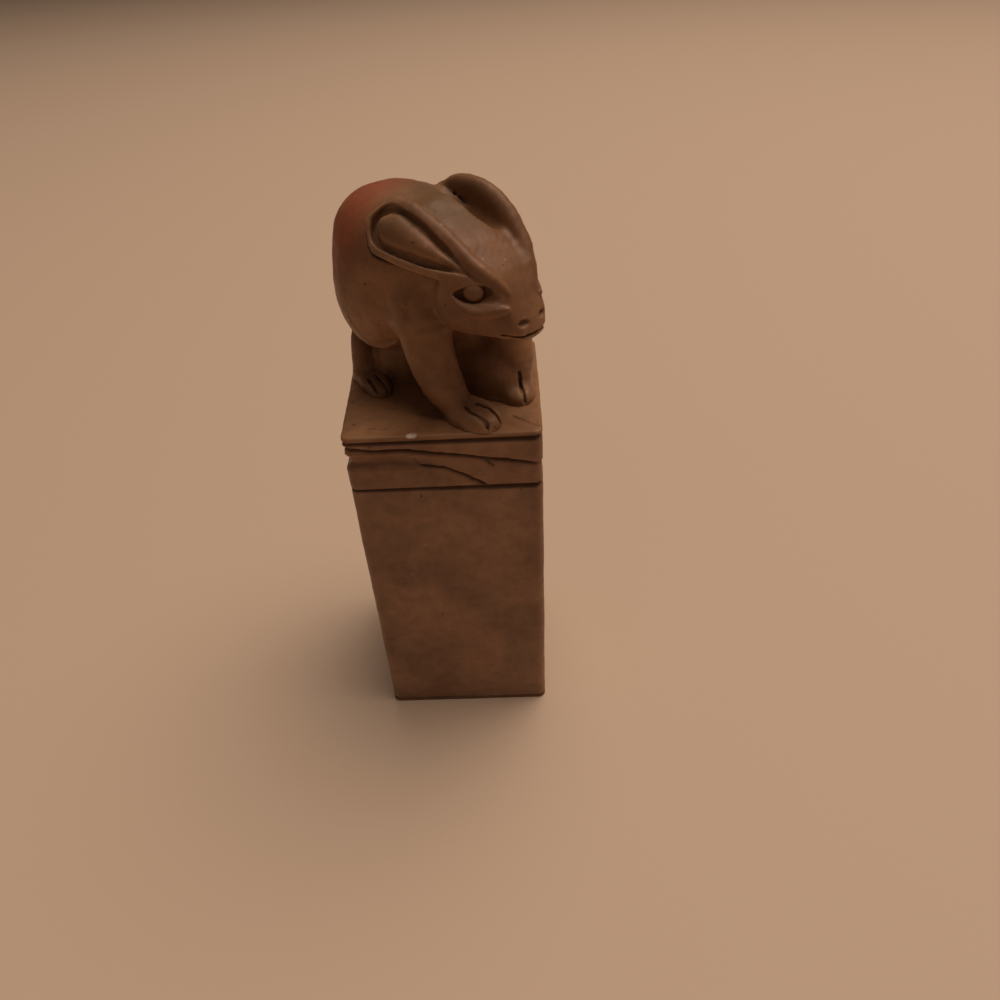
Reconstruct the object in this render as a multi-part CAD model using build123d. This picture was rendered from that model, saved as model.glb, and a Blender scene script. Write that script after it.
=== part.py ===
"""A hand-carved soapstone seal, cut from a single stone: a sawn block with its printing
face engraved underneath, a ring of carved rock ledges near the top, a thin slab above
them, and a hare crouching across the slab from corner to corner. Each carved region is
a solid of its own, and the regions meet face to face. Millimetres, +Z up, with the
origin under the middle of the block, in the plane that prints."""

from build123d import *
import math
import os

os.makedirs("parts", exist_ok=True)

# The sawn block
FRONT_WIDTH = 25.2  # along X, at the front
SIDE_SPLAY = 1.4  # what the left side gains in width towards the back
BLOCK_DEPTH = 25.0  # along Y
SHAFT_HEIGHT = 44.4  # from the printing plane to the lower ring groove
BAND_HEIGHT = 7.3  # from the lower ring groove to the upper one
SLAB_THICKNESS = 1.0  # from the upper ring groove to the top of the slab
CORNER_RADIUS = 1.1  # rounding of the four upright edges
RING_GROOVE_DEPTH = 0.42  # two sloping walls at right angles to each other
SLAB_EDGE_RADIUS = 0.4
OVERRUN = 1.0  # how far a cutter runs past what it cuts

# The printing face: a border round four square spirals
RELIEF_DEPTH = 0.7
BORDER_WIDTH = 1.2
SPIRAL_LINES = 5  # lines met on the way across one spiral

# The rock ledges of the band, on its front, right, back and left sides in turn
LEDGE_LINE_WIDTH = 0.55
LEDGE_LINE_DEPTH = 0.42
COVE_RADIUS = 1.9
COVE_DEPTH = 0.5

# The hare: lengths along its spine, widths across it and heights above the slab
HARE_HEADING = -40.0  # degrees from +X, towards the front right corner of the slab
HARE_LENGTH_SHARE = 0.828  # rump to nose, beside the diagonal of the slab
HARE_WIDTH_SHARE = 0.648  # across the widest part of its body, beside the depth of the slab
BACK_HEIGHT = 26.0  # slab to the top of its back
BODY_SQUARENESS = 2.5  # 2 would make the cross-sections true ellipses
HEAD_SQUARENESS = 3.2
OVAL_POINTS = 8  # points round such a section
HAUNCH_LENGTH = 10.6
HAUNCH_WIDTH = 8.0
HAUNCH_HEIGHT = 15.2
TAIL_LENGTH = 7.6
TAIL_WIDTH = 4.4
TAIL_THICKNESS = 3.4
TAIL_LEAN = 14.0  # degrees by which its tip leans forwards
HIND_FOOT_LENGTH = 9.4
HIND_FOOT_WIDTH = 3.8
HIND_FOOT_HEIGHT = 3.2
HOCK_HEIGHT = 9.0
HOCK_THICKNESS = 3.4
UNDERBELLY_LENGTH = 25.0
UNDERBELLY_WIDTH = 7.4
UNDERBELLY_HEIGHT = 8.0  # above the slab
FORELEG_THICKNESS = 6.4
FOREPAW_LENGTH = 7.6
FOREPAW_WIDTH = 4.8
FOREPAW_HEIGHT = 2.6
TOES = 3
TOE_WIDTH = 1.7
TOE_REACH = 0.6  # how far the middle toe stands out past the foot's end
TOE_SPLAY = 4.0  # degrees from one toe to the next
EAR_WIDTH = 6.2
EAR_THICKNESS = 2.4
EAR_GROOVE_WIDTH = 1.0
EAR_HOLLOW_LENGTH = 11.0
EAR_HOLLOW_WIDTH = 3.2
EAR_HOLLOW_DEPTH = 5.4
BROW_THICKNESS = 1.9
EYE_LENGTH = 2.5
EYE_HEIGHT = 2.2
EYE_THICKNESS = 1.6
EYE_TURN = 24.0  # degrees by which each eye looks forwards
EYE_SINK = 0.4  # how far the middle of an eye lies under the cheek
SOCKET_RIM = 0.55  # width of the hollow round an eye
SOCKET_DEPTH = 0.6
NOSTRIL_DIAMETER = 0.8

# Places that follow from the sizes above
SHAFT_TOP = SHAFT_HEIGHT
BAND_TOP = SHAFT_TOP + BAND_HEIGHT
SLAB_TOP = BAND_TOP + SLAB_THICKNESS
BACK_WIDTH = FRONT_WIDTH + SIDE_SPLAY
RIGHT_SIDE = BACK_WIDTH / 2
FRONT_MIDDLE = RIGHT_SIDE - FRONT_WIDTH / 2
CORNERS = (
    Vector(RIGHT_SIDE - FRONT_WIDTH, -BLOCK_DEPTH / 2),
    Vector(RIGHT_SIDE, -BLOCK_DEPTH / 2),
    Vector(RIGHT_SIDE, BLOCK_DEPTH / 2),
    Vector(RIGHT_SIDE - BACK_WIDTH, BLOCK_DEPTH / 2),
)
HARE_LENGTH = HARE_LENGTH_SHARE * math.hypot(FRONT_WIDTH, BLOCK_DEPTH)
HARE_WIDTH = HARE_WIDTH_SHARE * BLOCK_DEPTH
HARE_PLACE = Pos(FRONT_MIDDLE, 0, SLAB_TOP) * Rot(0, 0, HARE_HEADING)
RIGHT, LEFT = -1, 1  # signs across the hare


# The block

def block(bottom, top):
    """The stone's plan between two heights, with its upright edges rounded."""
    plan = Polygon(*CORNERS, align=None)
    plan = fillet(plan.vertices(), CORNER_RADIUS)
    return extrude(Pos(0, 0, bottom) * plan, amount=top - bottom)


def outline_at(solid, height):
    """The edges of a solid that lie flat at one height."""
    return solid.edges().filter_by_position(Axis.Z, height, height)


def shaft():
    """The plain tall block, with the lower half of the ring groove round its top."""
    solid = block(RELIEF_DEPTH, SHAFT_TOP)
    return chamfer(outline_at(solid, SHAFT_TOP), RING_GROOVE_DEPTH)


def slab():
    """The thin slab under the hare, grooved below and softened above."""
    solid = block(BAND_TOP, SLAB_TOP)
    solid = chamfer(outline_at(solid, BAND_TOP), RING_GROOVE_DEPTH)
    return fillet(outline_at(solid, SLAB_TOP), SLAB_EDGE_RADIUS)


def spiral_points(step):
    """The middle line of a square spiral that winds inwards a line and a gap at a time."""
    reach = (2 * SPIRAL_LINES - 2) * step
    place, heading = Vector(step / 2, step / 2), Vector(1, 0)
    points = [place]
    for turn in range(2 * SPIRAL_LINES - 1):
        if turn > 1 and turn % 2:
            reach -= 2 * step
        elif turn == 2 * SPIRAL_LINES - 2:
            break
        place += heading * reach
        points.append(place)
        heading = heading.rotate(Axis.Z, 90)
    return points


def square_spiral(step):
    """One raised spiral, as flat bars along its middle line."""
    points = spiral_points(step)
    bars = []
    for start, end in zip(points, points[1:]):
        middle = (start + end) / 2
        run = end - start
        bars.append(Pos(middle.X, middle.Y) * Rectangle(abs(run.X) + step, abs(run.Y) + step))
    return bars[0].fuse(*bars[1:])


def printing_face():
    """The raised border and the four spirals that print."""
    border = block(0, RELIEF_DEPTH)
    inner = offset(Polygon(*CORNERS, align=None), -BORDER_WIDTH)
    border -= extrude(Pos(0, 0, -OVERRUN) * inner, amount=RELIEF_DEPTH + 2 * OVERRUN)
    field = min(FRONT_WIDTH, BLOCK_DEPTH) - 2 * BORDER_WIDTH
    step = field / (2 * (2 * SPIRAL_LINES - 1) + 3)
    spiral = extrude(Pos(step / 2, step / 2) * square_spiral(step), amount=RELIEF_DEPTH)
    pieces = [border]
    for across in (spiral, mirror(spiral, Plane.YZ)):
        for along in (across, mirror(across, Plane.XZ)):
            pieces.append(Pos(FRONT_MIDDLE, 0, 0) * along)
    return Compound(children=[piece.solid() for piece in pieces])


# The band of rock ledges: for each side of the block, lines as shares of that side's
# length from its left end, of the band's height, and of the full depth of a cut
LEDGE_SHARES = (
    (
        ((-0.04, 0.90, 1), (0.34, 0.81, 1), (0.54, 0.70, 0.9), (0.74, 0.56, 1), (1.04, 0.40, 0.9)),
        ((0.34, 0.56, 0.3), (0.38, 0.42, 0.8), (0.55, 0.26, 1), (0.68, 0.04, 1)),
        ((0.72, 0.55, 0.8), (0.77, 0.33, 0.2)),
    ),
    (
        ((-0.04, 0.40, 0.9), (0.22, 0.46, 1), (0.48, 0.66, 1), (0.80, 0.72, 0.8), (1.04, 0.84, 1)),
        ((0.50, 0.62, 0.5), (0.62, 0.36, 1), (0.86, 0.22, 0.8), (0.97, 0.03, 0.6)),
    ),
    (
        ((-0.04, 0.84, 1), (0.26, 0.74, 0.9), (0.52, 0.77, 1), (0.80, 0.60, 1), (1.04, 0.62, 1)),
        ((0.20, 0.70, 0.4), (0.30, 0.44, 1), (0.58, 0.30, 1), (0.76, 0.05, 0.8)),
        ((0.84, 0.57, 0.7), (0.90, 0.34, 0.2)),
    ),
    (
        ((-0.04, 0.62, 1), (0.30, 0.66, 1), (0.62, 0.80, 0.9), (1.04, 0.90, 1)),
        ((0.12, 0.05, 0.6), (0.24, 0.30, 1), (0.46, 0.38, 0.8), (0.55, 0.52, 0.3)),
    ),
)
COVE_SHARES = (
    ((-0.04, 0.63, 1), (0.62, 0.60, 0)),
    ((0.30, 0.30, 0), (1.04, 0.52, 1)),
    ((-0.04, 0.52, 1), (0.70, 0.50, 0.3)),
    ((0.25, 0.52, 0.3), (1.04, 0.63, 1)),
)


def side_spot(side, along_share, height_share):
    """A point on one side of the band, and the direction out of that side."""
    start, end = CORNERS[side], CORNERS[(side + 1) % len(CORNERS)]
    place = start + (end - start) * along_share
    outward = (end - start).rotate(Axis.Z, -90).normalized()
    return Vector(place.X, place.Y, SHAFT_TOP + height_share * BAND_HEIGHT), outward


def ledge_line(side, shares):
    """One cut line along a ledge: triangles with their points in the stone, joined up."""
    sections = []
    for along_share, height_share, depth_share in shares:
        place, outward = side_spot(side, along_share, height_share)
        depth = LEDGE_LINE_DEPTH * depth_share
        point = place - outward * depth
        mouth = place + outward * OVERRUN
        rise = Vector(0, 0, LEDGE_LINE_WIDTH / 2) * ((depth + OVERRUN) / LEDGE_LINE_DEPTH)
        sections.append(make_face(Polyline(point, mouth + rise, mouth - rise, close=True)))
    return loft(sections, ruled=True)


def cove(side, shares):
    """The shallow hollow under a ledge, which fades along the side."""
    sections = []
    for along_share, height_share, depth_share in shares:
        place, outward = side_spot(side, along_share, height_share)
        middle = place + outward * (COVE_RADIUS - COVE_DEPTH * depth_share)
        along = outward.rotate(Axis.Z, 90)
        sections.append(Plane(middle, x_dir=outward, z_dir=along) * Circle(COVE_RADIUS))
    return loft(sections, ruled=True)


def band():
    """The ring of ledges: a cove and a few cut lines on each side, wandering round."""
    solid = block(SHAFT_TOP, BAND_TOP)
    edges = outline_at(solid, SHAFT_TOP) + outline_at(solid, BAND_TOP)
    solid = chamfer(edges, RING_GROOVE_DEPTH)
    for side, lines in enumerate(LEDGE_SHARES):
        solid -= cove(side, COVE_SHARES[side])
        for shares in lines:
            solid -= ledge_line(side, shares)
    return solid


# The hare, built in its own frame: +X forward, +Y to its left, +Z up from the slab

def spot(length_share, width_share, height_share):
    """A place on the hare, from shares of its length, width and height."""
    return Vector(length_share * HARE_LENGTH, width_share * HARE_WIDTH, height_share * BACK_HEIGHT)


def ellipsoid(length, width, height):
    """A rounded form of three given sizes."""
    return scale(Sphere(1), by=(length / 2, width / 2, height / 2))


# Rows of the body and head: place along the spine as a share of the hare's length,
# bottom and top as shares of its height, and full width as a share of its width
BODY_SHARES = (
    (-0.449, 0.520, 0.690, 0.26),
    (-0.439, 0.430, 0.780, 0.47),
    (-0.413, 0.350, 0.862, 0.66),
    (-0.367, 0.290, 0.928, 0.83),
    (-0.299, 0.255, 0.972, 0.94),
    (-0.170, 0.250, 0.993, 1.00),
    (-0.020, 0.270, 0.980, 0.92),
    (0.100, 0.350, 0.955, 0.72),
    (0.200, 0.430, 0.890, 0.56),
)
HEAD_SHARES = (
    (0.080, 0.470, 0.940, 0.58),
    (0.160, 0.435, 0.925, 0.72),
    (0.250, 0.420, 0.868, 0.78),
    (0.340, 0.420, 0.792, 0.71),
    (0.425, 0.422, 0.700, 0.52),
    (0.480, 0.425, 0.612, 0.36),
    (0.510, 0.430, 0.545, 0.24),
    (0.525, 0.440, 0.505, 0.14),
)


def oval(across, upward, squareness):
    """A closed outline between an ellipse and a rounded square."""
    points = []
    for number in range(OVAL_POINTS):
        angle = 2 * math.pi * number / OVAL_POINTS
        cosine, sine = math.cos(angle), math.sin(angle)
        points.append(
            (
                math.copysign(abs(cosine) ** (2 / squareness), cosine) * across,
                math.copysign(abs(sine) ** (2 / squareness), sine) * upward,
            )
        )
    return make_face(Spline(*points, periodic=True))


def rounded_form(rows, squareness):
    """A smooth form through upright ovals, one for each row of shares."""
    sections = []
    for along_share, bottom_share, top_share, width_share in rows:
        middle = spot(along_share, 0, (bottom_share + top_share) / 2)
        across = width_share * HARE_WIDTH / 2
        upward = (top_share - bottom_share) * BACK_HEIGHT / 2
        plane = Plane(middle, x_dir=(0, 1, 0), z_dir=(1, 0, 0))
        sections.append(plane * oval(across, upward, squareness))
    return loft(sections)


HAUNCH_SHARES = {RIGHT: (-0.218, -0.262, 0.495), LEFT: (-0.025, 0.235, 0.290)}
HAUNCH_LEAN = {RIGHT: 12.0, LEFT: -6.0}  # degrees by which its top leans forwards


def haunch(side):
    """The bulge of one thigh."""
    form = ellipsoid(HAUNCH_LENGTH, HAUNCH_WIDTH, HAUNCH_HEIGHT)
    return Pos(*spot(*HAUNCH_SHARES[side])) * Rot(0, HAUNCH_LEAN[side], 0) * form


UNDERBELLY_SHARES = (-0.075, 0.180, 0)


def underbelly():
    """The stone left standing in the shadow under the belly."""
    form = ellipsoid(UNDERBELLY_LENGTH, UNDERBELLY_WIDTH, 2 * UNDERBELLY_HEIGHT)
    return Pos(*spot(*UNDERBELLY_SHARES)) * form - below_slab()


TAIL_SHARES = (-0.425, 0, 0.400)


def tail():
    """The short tail, pressed down against the rump."""
    form = ellipsoid(TAIL_THICKNESS, TAIL_WIDTH, TAIL_LENGTH)
    return Pos(*spot(*TAIL_SHARES)) * Rot(0, TAIL_LEAN, 0) * form


def below_slab():
    """Everything under the top of the slab."""
    width, depth = BACK_WIDTH * 2, BLOCK_DEPTH * 2
    return Box(width, depth, BACK_HEIGHT, align=(Align.CENTER, Align.CENTER, Align.MAX))


# Middle of each foot on the slab, and how far it turns left from the hare's heading
FOREPAW_SHARES = {RIGHT: (0.282, -0.265, 0), LEFT: (0.308, 0.245, 0)}
FOREPAW_TURN = {RIGHT: -8.0, LEFT: -40.0}
HIND_FOOT_SHARES = {RIGHT: (-0.300, -0.345, 0), LEFT: (-0.130, 0.330, 0)}
HIND_FOOT_TURN = {RIGHT: -22.0, LEFT: 14.0}
TOE_SHARE = 0.58  # a toe's length and height beside those of its foot
TOE_STEP_SHARE = 0.86  # how far one toe's middle lies from the next one's, in toe widths
PAW_LIFT_SHARE = 0.28  # how high the middle of a foot lies, in foot heights
HOCK_PLACE_SHARE = 0.36  # from the middle of the foot back to the heel, in foot lengths


def paw(place, turn, length, width, height):
    """A flat foot with a row of toes, resting on the slab."""
    foot = ellipsoid(length, width, height)
    toe_length = length * TOE_SHARE
    for number in range(TOES):
        side = number - (TOES - 1) / 2
        toe = ellipsoid(toe_length, TOE_WIDTH, height * TOE_SHARE)
        reach = (length - toe_length) / 2 + TOE_REACH * (1 - abs(side) / TOES)
        foot += Rot(0, 0, side * TOE_SPLAY) * Pos(reach, side * TOE_WIDTH * TOE_STEP_SHARE) * toe
    foot = Pos(place.X, place.Y, height * PAW_LIFT_SHARE) * Rot(0, 0, turn) * foot
    return foot - below_slab()


def forepaw(side):
    """One front foot."""
    middle, turn = spot(*FOREPAW_SHARES[side]), FOREPAW_TURN[side]
    return paw(middle, turn, FOREPAW_LENGTH, FOREPAW_WIDTH, FOREPAW_HEIGHT)


def hind_foot(side):
    """One long hind foot, with its heel standing up to meet the rump."""
    middle, turn = spot(*HIND_FOOT_SHARES[side]), HIND_FOOT_TURN[side]
    foot = paw(middle, turn, HIND_FOOT_LENGTH, HIND_FOOT_WIDTH, HIND_FOOT_HEIGHT)
    heel = ellipsoid(HOCK_THICKNESS, HIND_FOOT_WIDTH, 2 * HOCK_HEIGHT)
    heel = Pos(*middle) * Rot(0, 0, turn) * Pos(-HIND_FOOT_LENGTH * HOCK_PLACE_SHARE, 0) * heel
    return foot + (heel - below_slab())


def limb(points, thicknesses):
    """A leg: circles strung along its bones."""
    sections = []
    for number, point in enumerate(points):
        before = points[max(number - 1, 0)]
        after = points[min(number + 1, len(points) - 1)]
        plane = Plane(point, x_dir=(0, 1, 0), z_dir=after - before)
        sections.append(plane * Circle(thicknesses[number] / 2))
    return loft(sections)


# Each foreleg from the shoulder to the paw: places on the hare, and thickness as a share
FORELEG_SHARES = {
    RIGHT: (
        (0.000, -0.160, 0.620, 0.90),
        (0.046, -0.265, 0.508, 1.10),
        (0.088, -0.315, 0.370, 0.98),
        (0.122, -0.321, 0.242, 0.90),
        (0.165, -0.302, 0.128, 0.80),
        (0.215, -0.275, 0.050, 0.56),
    ),
    LEFT: (
        (0.040, 0.200, 0.640, 0.90),
        (0.095, 0.300, 0.530, 1.10),
        (0.185, 0.350, 0.370, 0.92),
        (0.255, 0.345, 0.210, 0.80),
        (0.290, 0.290, 0.095, 0.62),
        (0.310, 0.250, 0.035, 0.36),
    ),
}


def foreleg(side):
    """One foreleg, from the shoulder to the wrist."""
    rows = FORELEG_SHARES[side]
    points = [spot(*row[:3]) for row in rows]
    return limb(points, [row[3] * FORELEG_THICKNESS for row in rows])


# Base, middle and tip of each ear, then its width and thickness as shares
EAR_SHARES = {
    RIGHT: (
        (0.345, -0.235, 0.730, 0.34, 0.7),
        (0.230, -0.320, 0.790, 0.66, 1.0),
        (0.110, -0.358, 0.845, 0.92, 1.1),
        (-0.020, -0.362, 0.880, 1.00, 1.0),
        (-0.090, -0.358, 0.890, 0.84, 0.7),
        (-0.108, -0.356, 0.892, 0.50, 0.4),
    ),
    LEFT: (
        (0.380, 0.260, 0.730, 0.34, 0.7),
        (0.260, 0.310, 0.830, 0.70, 1.0),
        (0.130, 0.320, 0.890, 0.94, 1.1),
        (0.010, 0.315, 0.900, 1.00, 1.0),
        (-0.060, 0.312, 0.892, 0.84, 0.7),
        (-0.078, 0.310, 0.890, 0.50, 0.4),
    ),
}
EAR_GROOVE_LIFTS = (0.3, 0.1, 0, 0, 0.5, 0.9)  # rise of the groove at each row, in groove widths
EAR_LEAN = {RIGHT: 29.0, LEFT: 16.0}  # degrees by which an ear's blade leans inwards
EAR_GROOVE_PLACES = (-0.21, 0.21)  # the two grooves, as shares of the blade's width


def ear_planes(side):
    """A plane across the ear at each row, X up the blade and Y through its thickness."""
    rows = EAR_SHARES[side]
    points = [spot(*row[:3]) for row in rows]
    lean = math.radians(EAR_LEAN[side])
    upward = Vector(0, -side * math.sin(lean), math.cos(lean))
    axis = points[0] - points[-1]
    return [Plane(point, x_dir=upward, z_dir=axis) for point in points], rows


def ear(side):
    """A long leaf-shaped ear laid back along the neck, with two grooves down its face."""
    planes, rows = ear_planes(side)
    blade = loft(
        [
            plane * Ellipse(row[3] * EAR_WIDTH / 2, row[4] * EAR_THICKNESS / 2)
            for plane, row in zip(planes, rows)
        ]
    )
    for place_share in EAR_GROOVE_PLACES:
        sections = []
        for plane, row, lift in zip(planes, rows, EAR_GROOVE_LIFTS):
            rise = EAR_THICKNESS * row[4] / 2 + EAR_GROOVE_WIDTH * lift
            shift = Pos(place_share * row[3] * EAR_WIDTH, math.copysign(rise, side * plane.y_dir.Y))
            sections.append(plane * shift * Circle(EAR_GROOVE_WIDTH / 2))
        blade -= loft(sections, ruled=True)
    return blade


EAR_HOLLOW_SHARES = (0.150, 0.195, 0.965)
EAR_HOLLOW_LEAN = 22.0  # degrees by which it falls towards the front


def ear_hollow():
    """The deep hollow beside the left ear, where it stands away from the neck."""
    form = ellipsoid(EAR_HOLLOW_LENGTH, EAR_HOLLOW_WIDTH, EAR_HOLLOW_DEPTH)
    return Pos(*spot(*EAR_HOLLOW_SHARES)) * Rot(0, EAR_HOLLOW_LEAN, 0) * form


EYE_SHARES = (0.366, 0.330, 0.668)
NOSTRIL_SHARES = (0.520, 0.040, 0.490)


def eye_place(side):
    """Where an eye sits on the side of the head, its thickness along Y."""
    along_share, across_share, height_share = EYE_SHARES
    return Pos(*spot(along_share, side * across_share, height_share)) * Rot(0, 0, -side * EYE_TURN)


def eye(side):
    """The eyeball, sunk in its socket."""
    form = ellipsoid(EYE_LENGTH, EYE_THICKNESS, EYE_HEIGHT)
    return eye_place(side) * Pos(0, -side * EYE_SINK) * form


def socket(side):
    """The shallow hollow round an eye."""
    form = ellipsoid(EYE_LENGTH + 2 * SOCKET_RIM, 2 * SOCKET_DEPTH, EYE_HEIGHT + 2 * SOCKET_RIM)
    return eye_place(side) * form


# The ridge over each eye, from the root of the ear forwards, and its thickness
BROW_SHARES = (
    (0.235, 0.245, 0.800, 0.7),
    (0.330, 0.245, 0.745, 1.0),
    (0.415, 0.200, 0.680, 0.8),
    (0.455, 0.170, 0.640, 0.4),
)


def brow(side):
    """The ridge that runs from an ear over the eye."""
    points = [spot(row[0], side * row[1], row[2]) for row in BROW_SHARES]
    return limb(points, [row[3] * BROW_THICKNESS for row in BROW_SHARES])


def head():
    """The head, with the sockets of its eyes and its nostrils cut in."""
    solid = rounded_form(HEAD_SHARES, HEAD_SQUARENESS)
    for side in (RIGHT, LEFT):
        solid += brow(side)
    for side in (RIGHT, LEFT):
        solid -= socket(side)
        along_share, across_share, height_share = NOSTRIL_SHARES
        nostril = spot(along_share, side * across_share, height_share)
        solid -= Pos(*nostril) * Sphere(NOSTRIL_DIAMETER / 2)
    return solid


def may_meet(name, form, other_name, other):
    """Whether two regions can touch. Those of opposite sides never do."""
    if {"left", "right"} <= set(name.split("_") + other_name.split("_")):
        return False
    first, second = form.bounding_box(optimal=False), other.bounding_box(optimal=False)
    lows, highs = (*first.min, *second.min), (*second.max, *first.max)
    return all(low < high for low, high in zip(lows, highs))


def carve_hare():
    """Every region of the hare, each cut back where a region before it stands."""
    hollow = ear_hollow()
    forms = {
        "hare_body": rounded_form(BODY_SHARES, BODY_SQUARENESS) - hollow,
        "hare_head": head() - hollow,
        "hare_right_hind_foot": hind_foot(RIGHT),
        "hare_left_hind_foot": hind_foot(LEFT),
        "hare_underbelly": underbelly(),
    }
    for side, name in ((RIGHT, "right"), (LEFT, "left")):
        forms[f"hare_{name}_haunch"] = haunch(side) - below_slab()
        forms[f"hare_{name}_foreleg"] = foreleg(side) - below_slab()
        forms[f"hare_{name}_forepaw"] = forepaw(side)
        forms[f"hare_{name}_ear"] = ear(side) - hollow
        forms[f"hare_{name}_eye"] = eye(side)
    forms["hare_tail"] = tail()
    cut = {}
    for name, form in forms.items():
        for earlier_name, earlier in cut.items():
            if may_meet(name, form, earlier_name, earlier):
                form -= earlier
        cut[name] = form
    return cut


nodes = {
    "printing_face": printing_face(),
    "seal_shaft": shaft(),
    "carved_band": band(),
    "plinth_slab": slab(),
}
for name, form in carve_hare().items():
    nodes[name] = HARE_PLACE * form
for name, solid in nodes.items():
    export_step(solid, f"parts/{name}.step")
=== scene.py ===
"""A carved stone seal: a tall square block with an engraved printing face, a ring of rock
ledges, a thin slab, and a hare crouching on it. One section for each piece, in the order
the carver worked from the sawn end to the animal."""

import math

import bpy
import numpy as np
from mathutils import Matrix


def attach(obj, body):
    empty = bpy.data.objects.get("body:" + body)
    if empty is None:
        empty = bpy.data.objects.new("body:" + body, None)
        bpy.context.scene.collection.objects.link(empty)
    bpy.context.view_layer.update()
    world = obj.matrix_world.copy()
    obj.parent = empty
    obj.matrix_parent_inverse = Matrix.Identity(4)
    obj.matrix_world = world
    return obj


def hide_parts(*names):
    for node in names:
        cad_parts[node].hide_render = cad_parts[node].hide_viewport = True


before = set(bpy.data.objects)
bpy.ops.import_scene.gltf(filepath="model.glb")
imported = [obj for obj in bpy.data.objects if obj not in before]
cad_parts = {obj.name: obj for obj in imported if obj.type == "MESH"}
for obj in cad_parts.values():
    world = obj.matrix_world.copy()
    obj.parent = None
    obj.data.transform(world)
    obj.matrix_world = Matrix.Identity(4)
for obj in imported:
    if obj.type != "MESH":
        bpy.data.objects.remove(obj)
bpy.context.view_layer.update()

# The view. The camera stands a hand's length in front of the seal and looks steeply down
# at the hare's right side, turned a little, as the seal was seen.

MM = 0.001
CAMERA_PLACE = (9.85, -89.5, 103.7)  # millimetres
CAMERA_YAW, CAMERA_PITCH, CAMERA_ROLL = (math.radians(a) for a in (-1.73, 38.61, -3.13))
SENSOR_WIDTH, FOCAL_LENGTH = 36.0, 27.0  # millimetres
NEAREST_SEEN, FARTHEST_SEEN = 0.005, 20.0  # metres


def camera_axes(yaw, pitch, roll):
    """Right, up and forward directions of the camera."""
    level = math.cos(pitch)
    forward = np.array((math.sin(yaw) * level, math.cos(yaw) * level, -math.sin(pitch)))
    right = np.array((math.cos(yaw), -math.sin(yaw), 0.0))
    up = np.cross(right, forward)
    turned_right = math.cos(roll) * right + math.sin(roll) * up
    turned_up = math.cos(roll) * up - math.sin(roll) * right
    return turned_right, turned_up, forward


right, up, forward = camera_axes(CAMERA_YAW, CAMERA_PITCH, CAMERA_ROLL)
lens = bpy.data.cameras.new("seal_view")
lens.sensor_width, lens.lens = SENSOR_WIDTH, FOCAL_LENGTH
lens.clip_start, lens.clip_end = NEAREST_SEEN, FARTHEST_SEEN
camera = bpy.data.objects.new("seal_view", lens)
rotation = Matrix((right, up, -forward)).transposed().to_4x4()
camera.matrix_world = Matrix.Translation([v * MM for v in CAMERA_PLACE]) @ rotation
bpy.context.scene.collection.objects.link(camera)
bpy.context.scene.camera = camera
bpy.context.scene.view_settings.view_transform = "Standard"

# The studio. A plain pale sheet under the seal, one broad soft light high on the right and a
# little behind it, and a weak fill from the front, so that the near faces lie in soft shade.

FLOOR_COLOUR, FLOOR_ROUGHNESS = (0.630, 0.490, 0.378, 1), 0.75
FLOOR_REACH = 4.0
ROOM_COLOUR, ROOM_STRENGTH = (1.0, 0.78, 0.62, 1), 0.07
# Place, what it points at, size, watts and colour of each soft light, in metres
SOFT_LIGHTS = (
    ("overhead_light", (0.38, 0.28, 1.38), (0, 0, 0.03), 1.35, 17.5, (1.0, 0.80, 0.64)),
    ("front_fill", (-0.35, -0.60, 0.50), (0, 0, 0.04), 0.60, 0.10, (1.0, 0.78, 0.62)),
)


def feed(tree, fed, values):
    """Gives each input of a node that is named or numbered its value, or a link."""
    for name, value in dict(values).items():
        if isinstance(value, bpy.types.NodeSocket):
            tree.links.new(value, fed.inputs[name])
        else:
            fed.inputs[name].default_value = value


def node(tree, kind, values=(), **settings):
    """A node with its settings and what its inputs get."""
    made = tree.nodes.new(kind)
    for name, value in settings.items():
        setattr(made, name, value)
    feed(tree, made, values)
    return made


sheet = bpy.data.materials.new("pale_sheet")
sheet.use_nodes = True
sheet_shader = sheet.node_tree.nodes["Principled BSDF"]
feed(sheet.node_tree, sheet_shader, {"Roughness": FLOOR_ROUGHNESS, "Base Color": FLOOR_COLOUR})
floor_mesh = bpy.data.meshes.new("floor")
floor_mesh.from_pydata(
    [(x * FLOOR_REACH, y * FLOOR_REACH, 0) for x, y in ((-1, -1), (1, -1), (1, 1), (-1, 1))],
    [],
    [(0, 1, 2, 3)],
)
floor_mesh.materials.append(sheet)
floor = bpy.data.objects.new("floor", floor_mesh)
bpy.context.scene.collection.objects.link(floor)

for name, place, aim, size, watts, colour in SOFT_LIGHTS:
    lamp = bpy.data.lights.new(name, "AREA")
    lamp.shape, lamp.size, lamp.energy, lamp.color = "DISK", size, watts, colour
    fitting = bpy.data.objects.new(name, lamp)
    towards = Matrix.Translation(aim).translation - Matrix.Translation(place).translation
    turn = towards.to_track_quat("-Z", "Y").to_matrix().to_4x4()
    fitting.matrix_world = Matrix.Translation(place) @ turn
    bpy.context.scene.collection.objects.link(fitting)

room = bpy.data.worlds.new("room")
room.use_nodes = True
background = room.node_tree.nodes["Background"]
feed(room.node_tree, background, {"Color": ROOM_COLOUR, "Strength": ROOM_STRENGTH})
bpy.context.scene.world = room

# The stone. A brown soapstone, a little translucent, with olive clouding, a red flush,
# pale and dark specks, grime and painted shade in every cut, and edges paled by handling
# and by painted highlights.

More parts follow.
